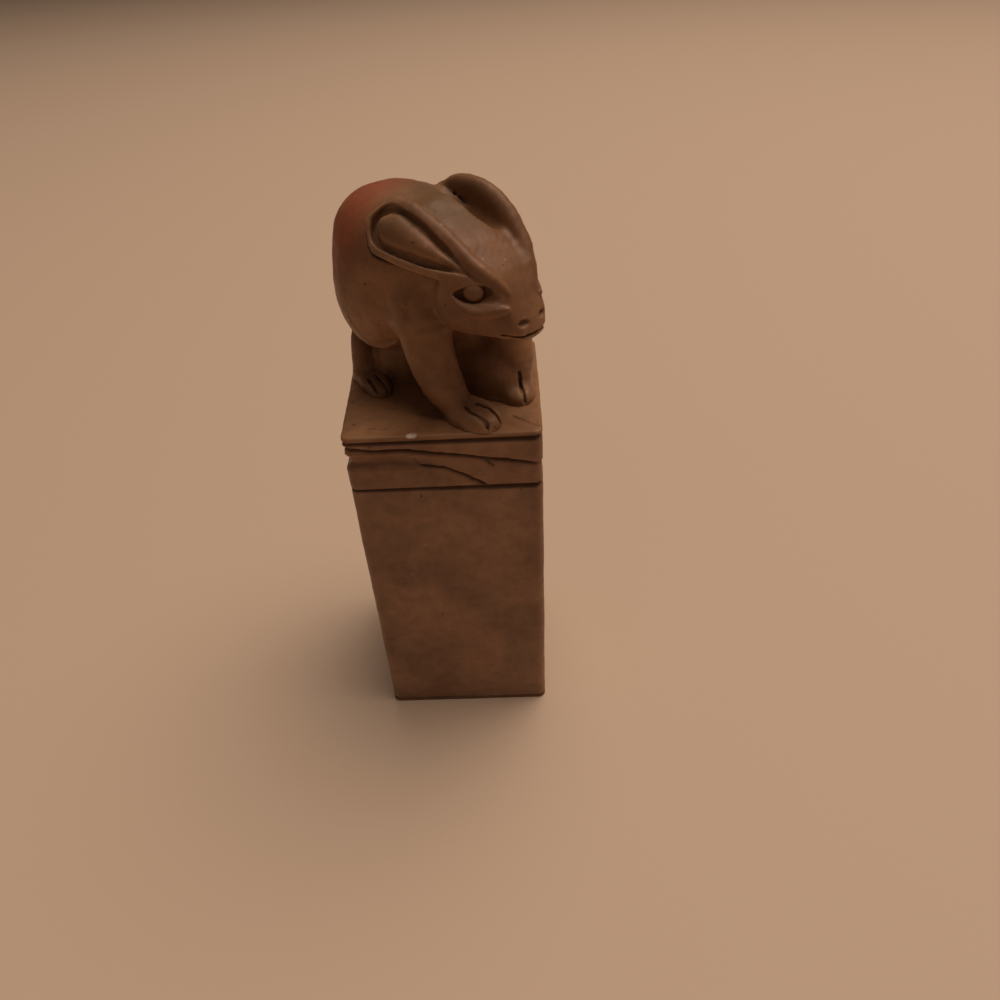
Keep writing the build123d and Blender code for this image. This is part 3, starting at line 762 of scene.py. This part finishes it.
def top_cuts(points):
    """How far into a cut of the slab's top each place lies, and the depth of the cuts."""
    grime, depth = np.zeros(len(points)), np.zeros(len(points))
    for line, half in TOP_CUTS:
        score = np.clip(1 - near_line(points, line) / half, 0, 1)
        grime = np.maximum(grime, score)
        depth = np.maximum(depth, score * half)
    return grime, depth


def slab_cut(points, aims, sides, shares):
    """The worn wall with the upper half of the groove, and cuts that run over the edge."""
    depth, rubbed, bruise = worn_wall(points, aims, shares)
    groove = ring_groove(points[:, 2], sides, shares, BAND_TOP)
    # A painted highlight along the rounded top edge.
    edge = np.clip((points[:, 2] - SLAB_TOP + SLAB_EDGE) / SLAB_EDGE, 0, 1)
    # Grime and painted shade in the cuts and the groove.
    grime, cuts = top_cuts(points)
    return (
        np.maximum(np.maximum(depth, cuts), groove),
        np.maximum(grime, np.clip(groove / DARKEST_GROOVE_DEPTH, 0, 1)),
        np.maximum(rubbed, 0.45 * np.sin(edge * math.pi)),
        bruise,
    )


def slab_top_cut(points, aims):
    """The scraped top: shallow flats, scratches, cuts and chips."""
    depth = np.maximum(TOP_WEAR + uneven(points, TOP_SWELLS), 0)
    grime, cuts = top_cuts(points)
    depth, bruise = chipped(points, aims, np.maximum(depth, cuts * TOP_CUT_DEEPER))
    return depth, grime, np.zeros(len(points)), bruise


slab_rows = [(height, 0.0, 0.0) for height in np.linspace(BAND_TOP, SLAB_TOP - SLAB_EDGE, 9)]
for angle in np.linspace(0, math.pi / 2, EDGE_STEPS)[1:]:
    rise = SLAB_EDGE * math.sin(angle)
    inset = SLAB_EDGE * (1 - math.cos(angle))
    slab_rows.append((SLAB_TOP - SLAB_EDGE + rise, inset, math.degrees(angle)))
cap_rows = np.linspace(0.984, 0.02, 62)
slab_mesh, slab_marks = shell_mesh(
    "slab", plan_ring(FINE_SPACING), slab_rows, slab_cut, cap_rows, slab_top_cut
)
slab_stone = stone("slab_stone", (0.365, 0.188, 0.092, 1), (0.255, 0.124, 0.058, 1), 0.45)
finish_piece(slab_mesh, slab_marks, slab_stone, ["plinth_slab"])

# The hare. It crouches across the slab from corner to corner with its back arched and its
# ears laid along its neck, and is cut in the round from the same stone, then polished.
# Below, x runs forward along the hare, y to its left and z up from the slab.

HARE_LENGTH, HARE_WIDTH, BACK_HEIGHT = 29.4, 16.2, 26.0
HARE_MIDDLE = 0.7
HARE_HEADING = math.radians(-40)
RIGHT, LEFT = -1, 1


def soft_union(first, second, blend):
    """Two forms grown together, with a fillet of about the given size."""
    share = np.clip(0.5 + 0.5 * (second - first) / blend, 0, 1)
    return second * (1 - share) + first * share - blend * share * (1 - share)


def soft_cut(form, cutter, blend):
    """A form with another taken out of it, and the edge eased."""
    return -soft_union(-form, cutter, blend)


def eased(value, low, high):
    """A smooth step from 0 to 1."""
    share = np.clip((value - low) / (high - low), 0, 1)
    return share * share * (3 - 2 * share)


def spot(length_share, width_share, height_share):
    """A place on the hare from shares of its length, width and height."""
    shares = np.array((length_share, width_share, height_share))
    return shares * (HARE_LENGTH, HARE_WIDTH, BACK_HEIGHT)


def egg(places, middle, sizes, lean=0.0, turn=0.0):
    """Distance to a rounded form of three sizes, leaning forwards and turned to the left."""
    lean, turn = math.radians(lean), math.radians(turn)
    offset = places - middle
    x = offset[:, 0] * math.cos(turn) + offset[:, 1] * math.sin(turn)
    y = offset[:, 1] * math.cos(turn) - offset[:, 0] * math.sin(turn)
    z = offset[:, 2]
    x, z = x * math.cos(lean) - z * math.sin(lean), x * math.sin(lean) + z * math.cos(lean)
    a, b, c = (size / 2 for size in sizes)
    reach = np.sqrt((x / a) ** 2 + (y / b) ** 2 + (z / c) ** 2)
    slope = np.sqrt((x / a**2) ** 2 + (y / b**2) ** 2 + (z / c**2) ** 2)
    return np.maximum(reach * (reach - 1) / np.maximum(slope, 1e-6), -min(a, b, c))


def smooth_rows(rows, along):
    """Rows of numbers taken smoothly to any place along the first column."""
    rows = np.array(rows)
    key, values = rows[:, 0], rows[:, 1:]
    slopes = np.gradient(values, key, axis=0)
    number = np.clip(np.searchsorted(key, along) - 1, 0, len(key) - 2)
    gap = (key[number + 1] - key[number])[:, None]
    share = np.clip((along - key[number])[:, None] / gap, 0, 1)
    square, cube = share**2, share**3
    return (
        values[number] * (2 * cube - 3 * square + 1)
        + slopes[number] * gap * (cube - 2 * square + share)
        + values[number + 1] * (3 * square - 2 * cube)
        + slopes[number + 1] * gap * (cube - square)
    )


def through_ovals(places, rows, squareness):
    """Distance to a smooth form through upright ovals between an ellipse and a square."""

    def reach_at(along):
        bottom, top, width = smooth_rows(rows, along / HARE_LENGTH).T
        across = np.maximum(width * HARE_WIDTH / 2, 0.3)
        upward = np.maximum((top - bottom) * BACK_HEIGHT / 2, 0.3)
        y = np.abs(places[:, 1]) / across
        z = np.abs(places[:, 2] - (top + bottom) * BACK_HEIGHT / 2) / upward
        reach = np.maximum((y**squareness + z**squareness) ** (1 / squareness), 0.05)
        slope_y = (y / reach) ** (squareness - 1) / across
        slope_z = (z / reach) ** (squareness - 1) / upward
        return reach, slope_y, slope_z

    reach, slope_y, slope_z = reach_at(places[:, 0])
    ahead = reach_at(places[:, 0] + 0.05)[0]
    slope_x = np.clip((ahead - reach) / 0.05, -2, 2)
    form = (reach - 1) / np.sqrt(slope_x**2 + slope_y**2 + slope_z**2 + 1e-9)
    first, last = rows[0][0] * HARE_LENGTH, rows[-1][0] * HARE_LENGTH
    ends = np.maximum(first - places[:, 0], places[:, 0] - last)
    return -soft_union(-np.clip(form, -4, 8), -ends, 0.5)


def strand(places, rows, steps=3):
    """Distance to a limb: a tube through points, with its own thickness at each."""
    rows = np.array(rows, float)
    last = len(rows) - 1
    numbered = np.column_stack((np.arange(last + 1), rows))
    fine = smooth_rows(numbered, np.linspace(0, last, steps * last + 1))
    best = np.full(len(places), 50.0)
    for start, end in zip(fine, fine[1:]):
        run = end[:3] - start[:3]
        share = np.clip((places - start[:3]) @ run / (run @ run), 0, 1)
        away = np.linalg.norm(places - start[:3] - share[:, None] * run, axis=1)
        best = np.minimum(best, away - (start[3] + share * (end[3] - start[3])) / 2)
    return best


# Rows of a form from its rear to its front, as shares of the hare's length, height and
# width: how far along it is, its underside, its top, and how wide it is
BODY_ROWS = (
    (-0.4525, 0.572, 0.640, 0.12),
    (-0.449, 0.520, 0.690, 0.26),
    (-0.439, 0.430, 0.780, 0.47),
    (-0.413, 0.350, 0.862, 0.66),
    (-0.367, 0.290, 0.928, 0.83),
    (-0.299, 0.255, 0.960, 0.94),
    (-0.170, 0.250, 0.975, 1.00),
    (-0.020, 0.270, 0.960, 0.92),
    (0.100, 0.350, 0.938, 0.74),
    (0.200, 0.430, 0.860, 0.58),
    (0.240, 0.450, 0.780, 0.46),
)
HEAD_ROWS = (
    (-0.060, 0.560, 0.840, 0.30),
    (0.010, 0.515, 0.895, 0.43),
    (0.080, 0.470, 0.920, 0.56),
    (0.160, 0.435, 0.912, 0.70),
    (0.250, 0.420, 0.868, 0.78),
    (0.340, 0.428, 0.796, 0.71),
    (0.425, 0.434, 0.710, 0.56),
    (0.475, 0.438, 0.624, 0.42),
    (0.510, 0.438, 0.557, 0.31),
    (0.528, 0.442, 0.516, 0.21),
    (0.535, 0.452, 0.494, 0.10),
)
# Rounded forms: middle, sizes in millimetres, and lean forwards where there is one
UNDERBELLY = (spot(-0.075, 0.180, 0), (25.0, 7.4, 16.0))
UNDER_RUMP = (np.array((-7.6, -1.0, 2.5)), (8.0, 6.4, 13.0))
TAIL = (np.array((-12.5, -0.5, 9.6)), (3.4, 5.6, 8.6), 12)
HAUNCHES = {
    RIGHT: (spot(-0.218, -0.262, 0.495), (10.6, 8.0, 15.2), 12),
    LEFT: (spot(-0.025, 0.235, 0.290), (10.6, 8.0, 15.2), -6),
}
# Shoulder to wrist of each foreleg: shares of the hare's three sizes, and thickness
FORELEG_ROWS = {
    RIGHT: (
        (0.000, -0.160, 0.620, 0.90),
        (0.046, -0.265, 0.508, 1.10),
        (0.088, -0.315, 0.370, 0.98),
        (0.122, -0.321, 0.242, 0.90),
        (0.165, -0.302, 0.128, 0.80),
        (0.215, -0.275, 0.050, 0.56),
    ),
    LEFT: (
        (0.040, 0.200, 0.640, 0.90),
        (0.095, 0.300, 0.530, 1.10),
        (0.185, 0.350, 0.370, 0.92),
        (0.255, 0.345, 0.210, 0.80),
        (0.290, 0.290, 0.095, 0.62),
        (0.310, 0.250, 0.035, 0.36),
    ),
}
FORELEG_THICKNESS = 6.4
# Middle of each foot, its turn to the left, and its length, width and height
FOREPAWS = {
    RIGHT: (spot(0.290, -0.262, 0), -4, (8.8, 5.7, 3.2)),
    LEFT: (spot(0.308, 0.245, 0), -40, (7.4, 4.6, 2.8)),
}
HIND_FEET = {
    RIGHT: (spot(-0.285, -0.345, 0), -22, (9.0, 3.8, 2.6)),
    LEFT: (spot(-0.130, 0.330, 0), 14, (9.2, 3.8, 2.8)),
}
HEEL_SIZES, HEEL_SHARE = (3.2, 3.6, 17.0), 0.29
# Cuts between the toes, seen from above: points in millimetres, half width and depth
TOE_CUTS = (
    (((8.9, -3.7), (10.6, -3.5), (12.9, -3.8)), 0.24, 0.50),
    (((8.4, -5.2), (9.6, -5.6), (12.3, -5.6)), 0.22, 0.40),
    (((8.4, 4.9), (10.2, 3.4), (12.6, 1.6)), 0.24, 0.46),
    (((-7.6, -5.7), (-4.0, -6.9)), 0.18, 0.45),
    (((-7.8, -6.9), (-4.4, -8.2)), 0.18, 0.45),
    (((-1.4, 5.6), (2.0, 6.4)), 0.18, 0.45),
)
# The ridge from the top edge of each ear down over the brow: place and thickness
RIMS = {
    RIGHT: (
        (-2.6, -4.5, 24.4, 1.1),
        (-0.6, -4.0, 24.9, 1.4),
        (1.9, -4.0, 24.5, 1.5),
        (4.9, -4.0, 23.2, 1.5),
        (7.1, -3.9, 21.9, 1.5),
        (8.6, -3.9, 20.9, 1.6),
        (10.2, -3.8, 19.8, 1.8),
        (11.6, -3.4, 18.8, 1.7),
        (12.6, -2.7, 17.8, 1.3),
        (13.3, -2.1, 16.9, 0.8),
    ),
    LEFT: (
        (-2.4, 5.3, 24.2, 1.2),
        (0.2, 5.4, 25.0, 1.6),
        (3.6, 5.4, 24.8, 1.6),
        (6.5, 5.3, 23.5, 1.7),
        (9.3, 4.8, 21.2, 1.8),
        (11.0, 4.2, 19.2, 1.7),
        (12.1, 3.3, 17.7, 1.3),
        (12.9, 2.5, 16.6, 0.7),
    ),
}
# The sharp lower edge of the right thigh
THIGH_EDGE = (
    (-8.9, -7.6, 13.6, 0.3),
    (-8.3, -8.0, 12.0, 0.5),
    (-7.4, -7.9, 10.0, 0.6),
    (-6.5, -7.2, 8.0, 0.7),
    (-5.6, -6.5, 7.2, 0.8),
    (-4.1, -6.1, 7.1, 0.8),
    (-2.1, -5.8, 8.2, 0.4),
)
# The lower lid, the front corner of the eye and the nostril: given for the left
LID = (
    (8.8, 6.1, 16.6, 0.6),
    (9.9, 5.9, 15.7, 1.2),
    (11.3, 5.3, 15.3, 1.4),
    (12.7, 4.3, 15.4, 1.2),
    (14.2, 3.1, 15.6, 0.5),
)
LEFT_LID_SCALE = (1, 0.9, 1, 0.8)
EYE_CORNER = ((11.6, 4.9, 17.1, 1.5), (12.8, 4.1, 16.85, 1.2), (13.6, 3.4, 16.8, 0.4))
NOSTRIL, NOSTRIL_SIZES, NOSTRIL_LEAN = (15.35, 1.75, 13.6), (1.5, 1.7, 0.8), 15
SOCKETS = {RIGHT: (10.75, -5.15, 17.15), LEFT: (10.75, 5.6, 17.15)}
SOCKET_SIZES, SOCKET_LEAN, SOCKET_TURN = (5.0, 2.6, 1.9), -8, 32
# The cut between the lips: its height at the nose, how it rises backwards, where it ends,
# half its height and its depth
MOUTH_LEVEL, MOUTH_DROP, MOUTH_BACK = 12.08, 0.13, 13.0
MOUTH_HALF_HEIGHT, MOUTH_DEPTH = 0.11, 0.26
# Base to tip of each ear: place, width and thickness in millimetres
EAR_ROWS = {
    RIGHT: (
        (9.8, -4.1, 18.9, 2.2, 1.7),
        (6.4, -5.0, 20.4, 4.8, 2.5),
        (3.3, -5.5, 21.6, 6.3, 2.7),
        (-0.4, -5.7, 22.5, 6.8, 2.6),
        (-3.5, -5.7, 23.0, 6.5, 2.3),
    ),
    LEFT: (
        (10.6, 4.6, 18.6, 2.2, 1.7),
        (7.2, 5.2, 21.4, 4.6, 2.0),
        (3.6, 5.5, 22.5, 6.0, 2.1),
        (0.0, 5.5, 22.7, 6.3, 2.1),
        (-3.2, 5.3, 22.3, 5.8, 2.0),
    ),
}
EAR_LEAN = {RIGHT: 31, LEFT: 3}
EAR_TIP = 2.9  # how far from its end an ear starts to round off
EAR_RIM = 0.85
EAR_DISH = 0.85
EAR_LOBE, LOBE_RISE = 1.80, 1.15
# The hollow in the neck beside the left ear, as a rounded form
EAR_HOLLOW = (np.array((4.1, 3.0, 25.3)), (12.4, 3.5, 7.2), 22)
# How far the feet spread at the slab, over what height, and how far they run into it
SKIRT, SKIRT_HEIGHT, FOOT_SINK = 0.28, 0.3, 0.12
HARE_SWELLS = ((0.022, 3.2, 41), (0.013, 1.1, 42))


def paw(places, middle, turn, sizes):
    """A low broad foot with a flattened top."""
    height = sizes[2]
    foot = egg(places, np.array((middle[0], middle[1], height * 0.20)), sizes, 0, turn)
    return -soft_union(-foot, height * 0.62 - places[:, 2], 0.5)


def ear_form(places, side):
    """The leaf of an ear, the dish cut into its outer face, and the lobe standing in the dish."""
    rows = np.array(EAR_ROWS[side])
    points = rows[:, :3]
    axis = points[-1] - points[0]
    length = np.linalg.norm(axis)
    axis /= length
    lean = math.radians(EAR_LEAN[side])
    upward = np.array((0, -side * math.sin(lean), math.cos(lean)))
    upward -= axis * (upward @ axis)
    upward /= np.linalg.norm(upward)
    outward = np.cross(axis, upward)
    outward *= side * np.sign(outward[1])
    along = (places - points[0]) @ axis
    key = (points - points[0]) @ axis

    def half_width(along):
        tip = np.clip((along - length) / EAR_TIP + 1, 0, 1)
        wide = smooth_rows(np.column_stack((key, rows[:, 3])), along)[:, 0] / 2
        return wide * np.sqrt(np.maximum(1 - tip**2.6, 0.0004))

    values = smooth_rows(np.column_stack((key, points, rows[:, 4])), along)
    offset = places - values[:, :3]
    offset -= (offset @ axis)[:, None] * axis
    u, v = offset @ upward, offset @ outward
    half, thick = half_width(along), values[:, 3] / 2
    taper = np.clip((half_width(along + 0.05) - half) / 0.05, -4, 4)
    inset = (half - np.abs(u)) / np.sqrt(1 + taper**2)
    flat = np.sqrt((u / half) ** 2 + (v / thick) ** 2)
    slope = np.sqrt((u / half**2) ** 2 + (v / thick**2) ** 2)
    blade = np.clip(flat * (flat - 1) / np.maximum(slope, 1e-6), -2, 8)
    blade = -soft_union(-blade, np.minimum(along, length - along), 0.4)
    lift = v - thick * 0.86 + EAR_DISH * np.clip((along - 0.8) / 3.0, 0, 1)
    dish = np.maximum(EAR_RIM - inset, -lift)
    run = np.clip((along - 1.2) / (length - 2.7), 0, 1)
    end = np.sqrt(np.maximum(1 - np.clip(run * 5 - 4, 0, 1) ** 2, 0.001))
    lobe_half = np.maximum(EAR_LOBE * np.minimum(1, 1.25 * run**0.75) * end, 0.12)
    lobe_rise = LOBE_RISE * np.minimum(1, lobe_half)
    lobe = np.sqrt((u / lobe_half) ** 2 + (lift / lobe_rise) ** 2)
    lobe = (lobe - 1) * np.minimum(lobe_half, lobe_rise)
    lobe = np.maximum(lobe, np.maximum(1.2 - along, along - (length - 1.45)))
    return blade, dish, np.maximum(lobe, -v - 1.5)


def moat(form, neighbour, width, depth):
    """A form with a shallow cut where it meets a neighbour that stands on it."""
    return soft_cut(form, np.maximum(neighbour - width, -form - depth), 0.18)


def mirrored(rows, side):
    """Rows given for the left of the hare, or their mirror image for its right."""
    rows = np.array(rows, float)
    rows[:, 1] *= side
    return rows


def head_form(places):
    """The head with its cheeks, sockets, lids, nostrils and mouth."""
    x, z = places[:, 0], places[:, 2]
    head = through_ovals(places, HEAD_ROWS, 3.0)
    back = 4.9 + 0.10 * (np.minimum(z, 18.5) - 14.4) ** 2 - 14 * eased(z, 18.0, 21.0)
    head = -soft_union(-head, x - back, 1.3)
    lips = MOUTH_LEVEL + MOUTH_DROP * (HEAD_ROWS[-1][0] * HARE_LENGTH - x)
    for side in (RIGHT, LEFT):
        turn = -side * SOCKET_TURN
        socket = egg(places, np.array(SOCKETS[side]), SOCKET_SIZES, SOCKET_LEAN, turn)
        corner = strand(places, mirrored(EYE_CORNER, side))
        head = soft_cut(head, soft_union(socket, corner, 0.3), 0.2)
        lid = LID if side == RIGHT else np.array(LID) * LEFT_LID_SCALE
        head = soft_union(head, strand(places, mirrored(lid, side)), 0.5)
        nostril = np.array(NOSTRIL) * (1, side, 1)
        head = soft_cut(head, egg(places, nostril, NOSTRIL_SIZES, NOSTRIL_LEAN), 0.2)
        mouth = np.maximum(np.abs(z - lips) - MOUTH_HALF_HEIGHT, -head - MOUTH_DEPTH)
        head = soft_cut(head, np.maximum(mouth, MOUTH_BACK - x), 0.12)
    return head


def hare_field(places):
    """Distance to the surface of the whole hare."""
    x, z = places[:, 0], places[:, 2]
    body = through_ovals(places, BODY_ROWS, 2.5)
    for side in (RIGHT, LEFT):
        middle, sizes, lean = HAUNCHES[side]
        body = soft_union(body, egg(places, middle, sizes, lean), 2.4)
    body = soft_union(body, egg(places, *TAIL), 0.5)
    for side in (RIGHT, LEFT):
        rows = [(*spot(*row[:3]), row[3] * FORELEG_THICKNESS) for row in FORELEG_ROWS[side]]
        leg = strand(places, rows)
        middle, turn, sizes = FOREPAWS[side]
        leg = soft_union(leg, paw(places, middle, turn, sizes), 1.0)
        body = soft_union(body, leg, 1.2)
        middle, turn, sizes = HIND_FEET[side]
        foot = paw(places, middle, turn, sizes)
        angle = math.radians(turn)
        back = sizes[0] * HEEL_SHARE
        heel = middle - np.array((math.cos(angle) * back, math.sin(angle) * back, 0))
        foot = soft_union(foot, egg(places, heel, HEEL_SIZES, 0, turn), 0.8)
        body = soft_union(body, foot, 0.5)
    body = soft_union(body, egg(places, *UNDERBELLY), 1.0)
    body = soft_union(body, egg(places, *UNDER_RUMP), 1.0)
    for line, width, depth in TOE_CUTS:
        away = near_line(places[:, :2], line) - width
        body = soft_cut(body, np.maximum(np.maximum(away, -body - depth), z - 3.5), 0.14)
    body = soft_union(body, strand(places, THIGH_EDGE), 0.3)
    fillet = 0.7 + 2.3 * eased(z, 17.5, 22.0) * (1 - eased(x, 2.5, 6.8))
    hare = soft_union(body, head_form(places), fillet)
    hare = soft_cut(hare, egg(places, *EAR_HOLLOW), 0.8)
    for side in (RIGHT, LEFT):
        leaf, dish, lobe = ear_form(places, side)
        rear = moat(hare, leaf, 0.32, 0.35)
        hare = rear + (hare - rear) * eased(x, 0.0, 4.0)
        hare = soft_cut(soft_union(hare, leaf, 0.35), dish, 0.25)
        hare = soft_union(hare, lobe, 0.25)
        hare = soft_union(hare, strand(places, RIMS[side]), 0.35 if side == RIGHT else 1.2)
    hare = hare + uneven(places, HARE_SWELLS)
    flare = SKIRT * np.exp(-np.maximum(z, 0) / SKIRT_HEIGHT)
    return np.maximum(hare - flare, -FOOT_SINK - z)


def net_cells(field, low, high, cell):
    """Vertices and quads of the surface where a field is zero, one vertex to a cell."""
    coarse = 4
    counts = (np.ceil((high - low) / cell / coarse).astype(int) + 1) * coarse + 1
    blocks = (counts - 1) // coarse
    centres = [low[i] + (np.arange(blocks[i]) + 0.5) * cell * coarse for i in range(3)]
    mesh = np.stack(np.meshgrid(*centres, indexing="ij"), -1).reshape(-1, 3)
    near = (np.abs(field(mesh)) < cell * coarse * 3.0).reshape(blocks)
    mask = np.zeros(counts, bool)
    wide = near.repeat(coarse, 0).repeat(coarse, 1).repeat(coarse, 2)
    for shift in np.ndindex(2, 2, 2):
        mask[tuple(slice(s, s + n) for s, n in zip(shift, wide.shape))] |= wide
    values = np.full(counts, np.inf)
    index = np.argwhere(mask)
    values[mask] = field(low + index * cell)
    solid = values < 0
    known = np.isfinite(values)
    active = np.zeros(counts - 1, int)
    usable = np.ones(counts - 1, bool)
    for shift in np.ndindex(2, 2, 2):
        part = tuple(slice(s, s + n - 1) for s, n in zip(shift, counts))
        active += solid[part]
        usable &= known[part]
    cells = np.argwhere((active > 0) & (active < 8) & usable)
    number = np.full(counts - 1, -1)
    number[tuple(cells.T)] = np.arange(len(cells))
    total, hits = np.zeros((len(cells), 3)), np.zeros(len(cells))
    for axis in range(3):
        step = np.eye(3, dtype=int)[axis]
        others = [a for a in range(3) if a != axis]
        for first, second in np.ndindex(2, 2):
            base = np.zeros(3, int)
            base[others[0]], base[others[1]] = first, second
            start = cells + base
            a, b = values[tuple(start.T)], values[tuple((start + step).T)]
            cross = (a < 0) != (b < 0)
            share = a[cross] / (a[cross] - b[cross])
            total[cross] += start[cross] + share[:, None] * step
            hits[cross] += 1
    points = low + total / hits[:, None] * cell
    quads = []
    for axis in range(3):
        step = np.eye(3, dtype=int)[axis]
        first, second = (np.eye(3, dtype=int)[a] for a in ((axis + 1) % 3, (axis + 2) % 3))
        part_a = tuple(slice(0, n - s) for n, s in zip(counts, step))
        part_b = tuple(slice(s, n) for n, s in zip(counts, step))
        both = known[part_a] & known[part_b]
        edges = np.argwhere((solid[part_a] != solid[part_b]) & both)
        edges = edges[(edges[:, (axis + 1) % 3] > 0) & (edges[:, (axis + 2) % 3] > 0)]
        around = [edges - first - second, edges - second, edges, edges - first]
        corners = np.column_stack([number[tuple(c.T)] for c in around])
        out = solid[tuple(edges.T)]
        quads.append(np.where(out[:, None], corners, corners[:, ::-1]))
    quads = np.vstack(quads)
    return points, quads[(quads >= 0).all(1)]


def slope_of(field, points, gap=0.04):
    """The direction in which a field grows, as long as its rate."""
    steps = np.eye(3) * gap
    rises = [field(points + step) - field(points - step) for step in steps]
    return np.column_stack(rises) / (2 * gap)


def relaxed(field, points, quads, rounds=2):
    """Evens out the net and lays its points on the surface."""
    for _ in range(rounds):
        total, count = np.zeros_like(points), np.zeros(len(points))
        for first, second in ((0, 1), (1, 2), (2, 3), (3, 0)):
            np.add.at(total, quads[:, first], points[quads[:, second]])
            np.add.at(total, quads[:, second], points[quads[:, first]])
            np.add.at(count, quads[:, first], 1)
            np.add.at(count, quads[:, second], 1)
        points = points + 0.5 * (total / np.maximum(count, 1)[:, None] - points)
        slope = slope_of(field, points)
        rate = np.maximum((slope**2).sum(1), 0.2)
        points = points - np.clip(field(points) / rate, -0.2, 0.2)[:, None] * slope
    return points


# How far out from the surface to look for other stone, and what each look counts, for the
# painted shade in the hare's hollows
LOOKS = ((0.3, 0.9), (0.7, 0.6), (1.5, 0.35))
SHARPNESS_DEPTH = 0.35


def carving_marks(field, points):
    """How much of each point is shut in by stone, and how sharply it stands out."""
    aims = slope_of(field, points)
    aims /= np.maximum(np.linalg.norm(aims, axis=1), 1e-6)[:, None]
    shut = np.zeros(len(points))
    for reach, weight in LOOKS:
        shut += weight * np.clip(1 - field(points + aims * reach) / reach, 0, 1)
    sharp = np.clip(1 + field(points - aims * SHARPNESS_DEPTH) / SHARPNESS_DEPTH, 0, 1)
    return shut, sharp


def hare_to_row(points):
    """Places on the hare taken to the row's frame, in metres."""
    cosine, sine = math.cos(HARE_HEADING), math.sin(HARE_HEADING)
    x = points[:, 0] * cosine - points[:, 1] * sine + HARE_MIDDLE
    y = points[:, 0] * sine + points[:, 1] * cosine
    return np.column_stack((x, y, points[:, 2] + SLAB_TOP)) * MM


def carve(name, field, low, high, cell):
    """A mesh of a carved form, and marks for painted shade and grime, and for paled edges."""
    points, quads = net_cells(field, np.array(low, float), np.array(high, float), cell)
    points = relaxed(field, points, quads)
    shut, sharp = carving_marks(field, points)
    mesh = bpy.data.meshes.new(name)
    mesh.from_pydata(hare_to_row(points).tolist(), [], quads.tolist())
    return mesh, points, shut, sharp


def patch(places, middle, stretch, near, far):
    """A soft patch of colour, full within the near distance and gone beyond the far one."""
    return 1 - eased(np.linalg.norm((places - middle) / stretch, axis=1), near, far)


HARE_BOX = (-15.8, -10, -0.6), (17.2, 10, 27.4)
RED_FLUSH = (-9.5, -2.0, 21.5), (1.0, 1.3, 1.15), 4.0, 8.5
OLIVE_CLOUD = (3.5, 1.0, 24.5), (1.3, 1.0, 0.7), 2.5, 6.0
HARE_CELL = 0.21
hare_mesh, hare_points, shut, sharp = carve("hare", hare_field, *HARE_BOX, HARE_CELL)
hare_marks = {
    # Painted shade where stone shuts the surface in, with grime in the hollows.
    "grime": np.clip((shut - 0.60) / 1.1, 0, 0.85),
    # Sharp edges paled by rubbing and by a painted highlight.
    "rubbed": np.clip((sharp - 0.22) / 0.45, 0, 1),
    "bruise": np.zeros(len(hare_points)),
    "flush": patch(hare_points, *RED_FLUSH) * 0.9,
    "olive": patch(hare_points, *OLIVE_CLOUD) * 0.6,
}
hare_stone = stone("polished_stone", (0.345, 0.172, 0.086, 1), (0.215, 0.100, 0.049, 1), 0.47)
carved_nodes = [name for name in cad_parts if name.startswith("hare_")]
carved_nodes = [name for name in carved_nodes if not name.endswith("_eye")]
finish_piece(hare_mesh, hare_marks, hare_stone, carved_nodes)

# The eyes. A low bead of the same stone left standing in each socket, turned with the
# cheek and sunk a little under the brow, and polished last.

EYE_TURN = 24
EYE_SIZES = (2.4, 1.6, 2.2)
EYE_SINK = 0.6
EYE_REACH, EYE_CELL = 1.8, 0.1
EYE = {side: spot(0.366, side * 0.322, 0.666) for side in (RIGHT, LEFT)}

for side, side_name in ((RIGHT, "right"), (LEFT, "left")):
    turn = math.radians(-side * EYE_TURN)
    inwards = np.array((side * math.sin(turn), -side * math.cos(turn), 0))
    sunk = EYE[side] + EYE_SINK * inwards

    def eye_field(places, sunk=sunk, side=side):
        return egg(places, sunk, EYE_SIZES, 0, -side * EYE_TURN)

    eye_box = (sunk - EYE_REACH, sunk + EYE_REACH)
    eye_mesh, eye_points = carve(f"{side_name}_eye", eye_field, *eye_box, EYE_CELL)[:2]
    nothing = np.zeros(len(eye_points))
    eye_marks = {"grime": nothing, "rubbed": nothing + 0.15, "bruise": nothing}
    finish_piece(eye_mesh, eye_marks, hare_stone, [f"hare_{side_name}_eye"])
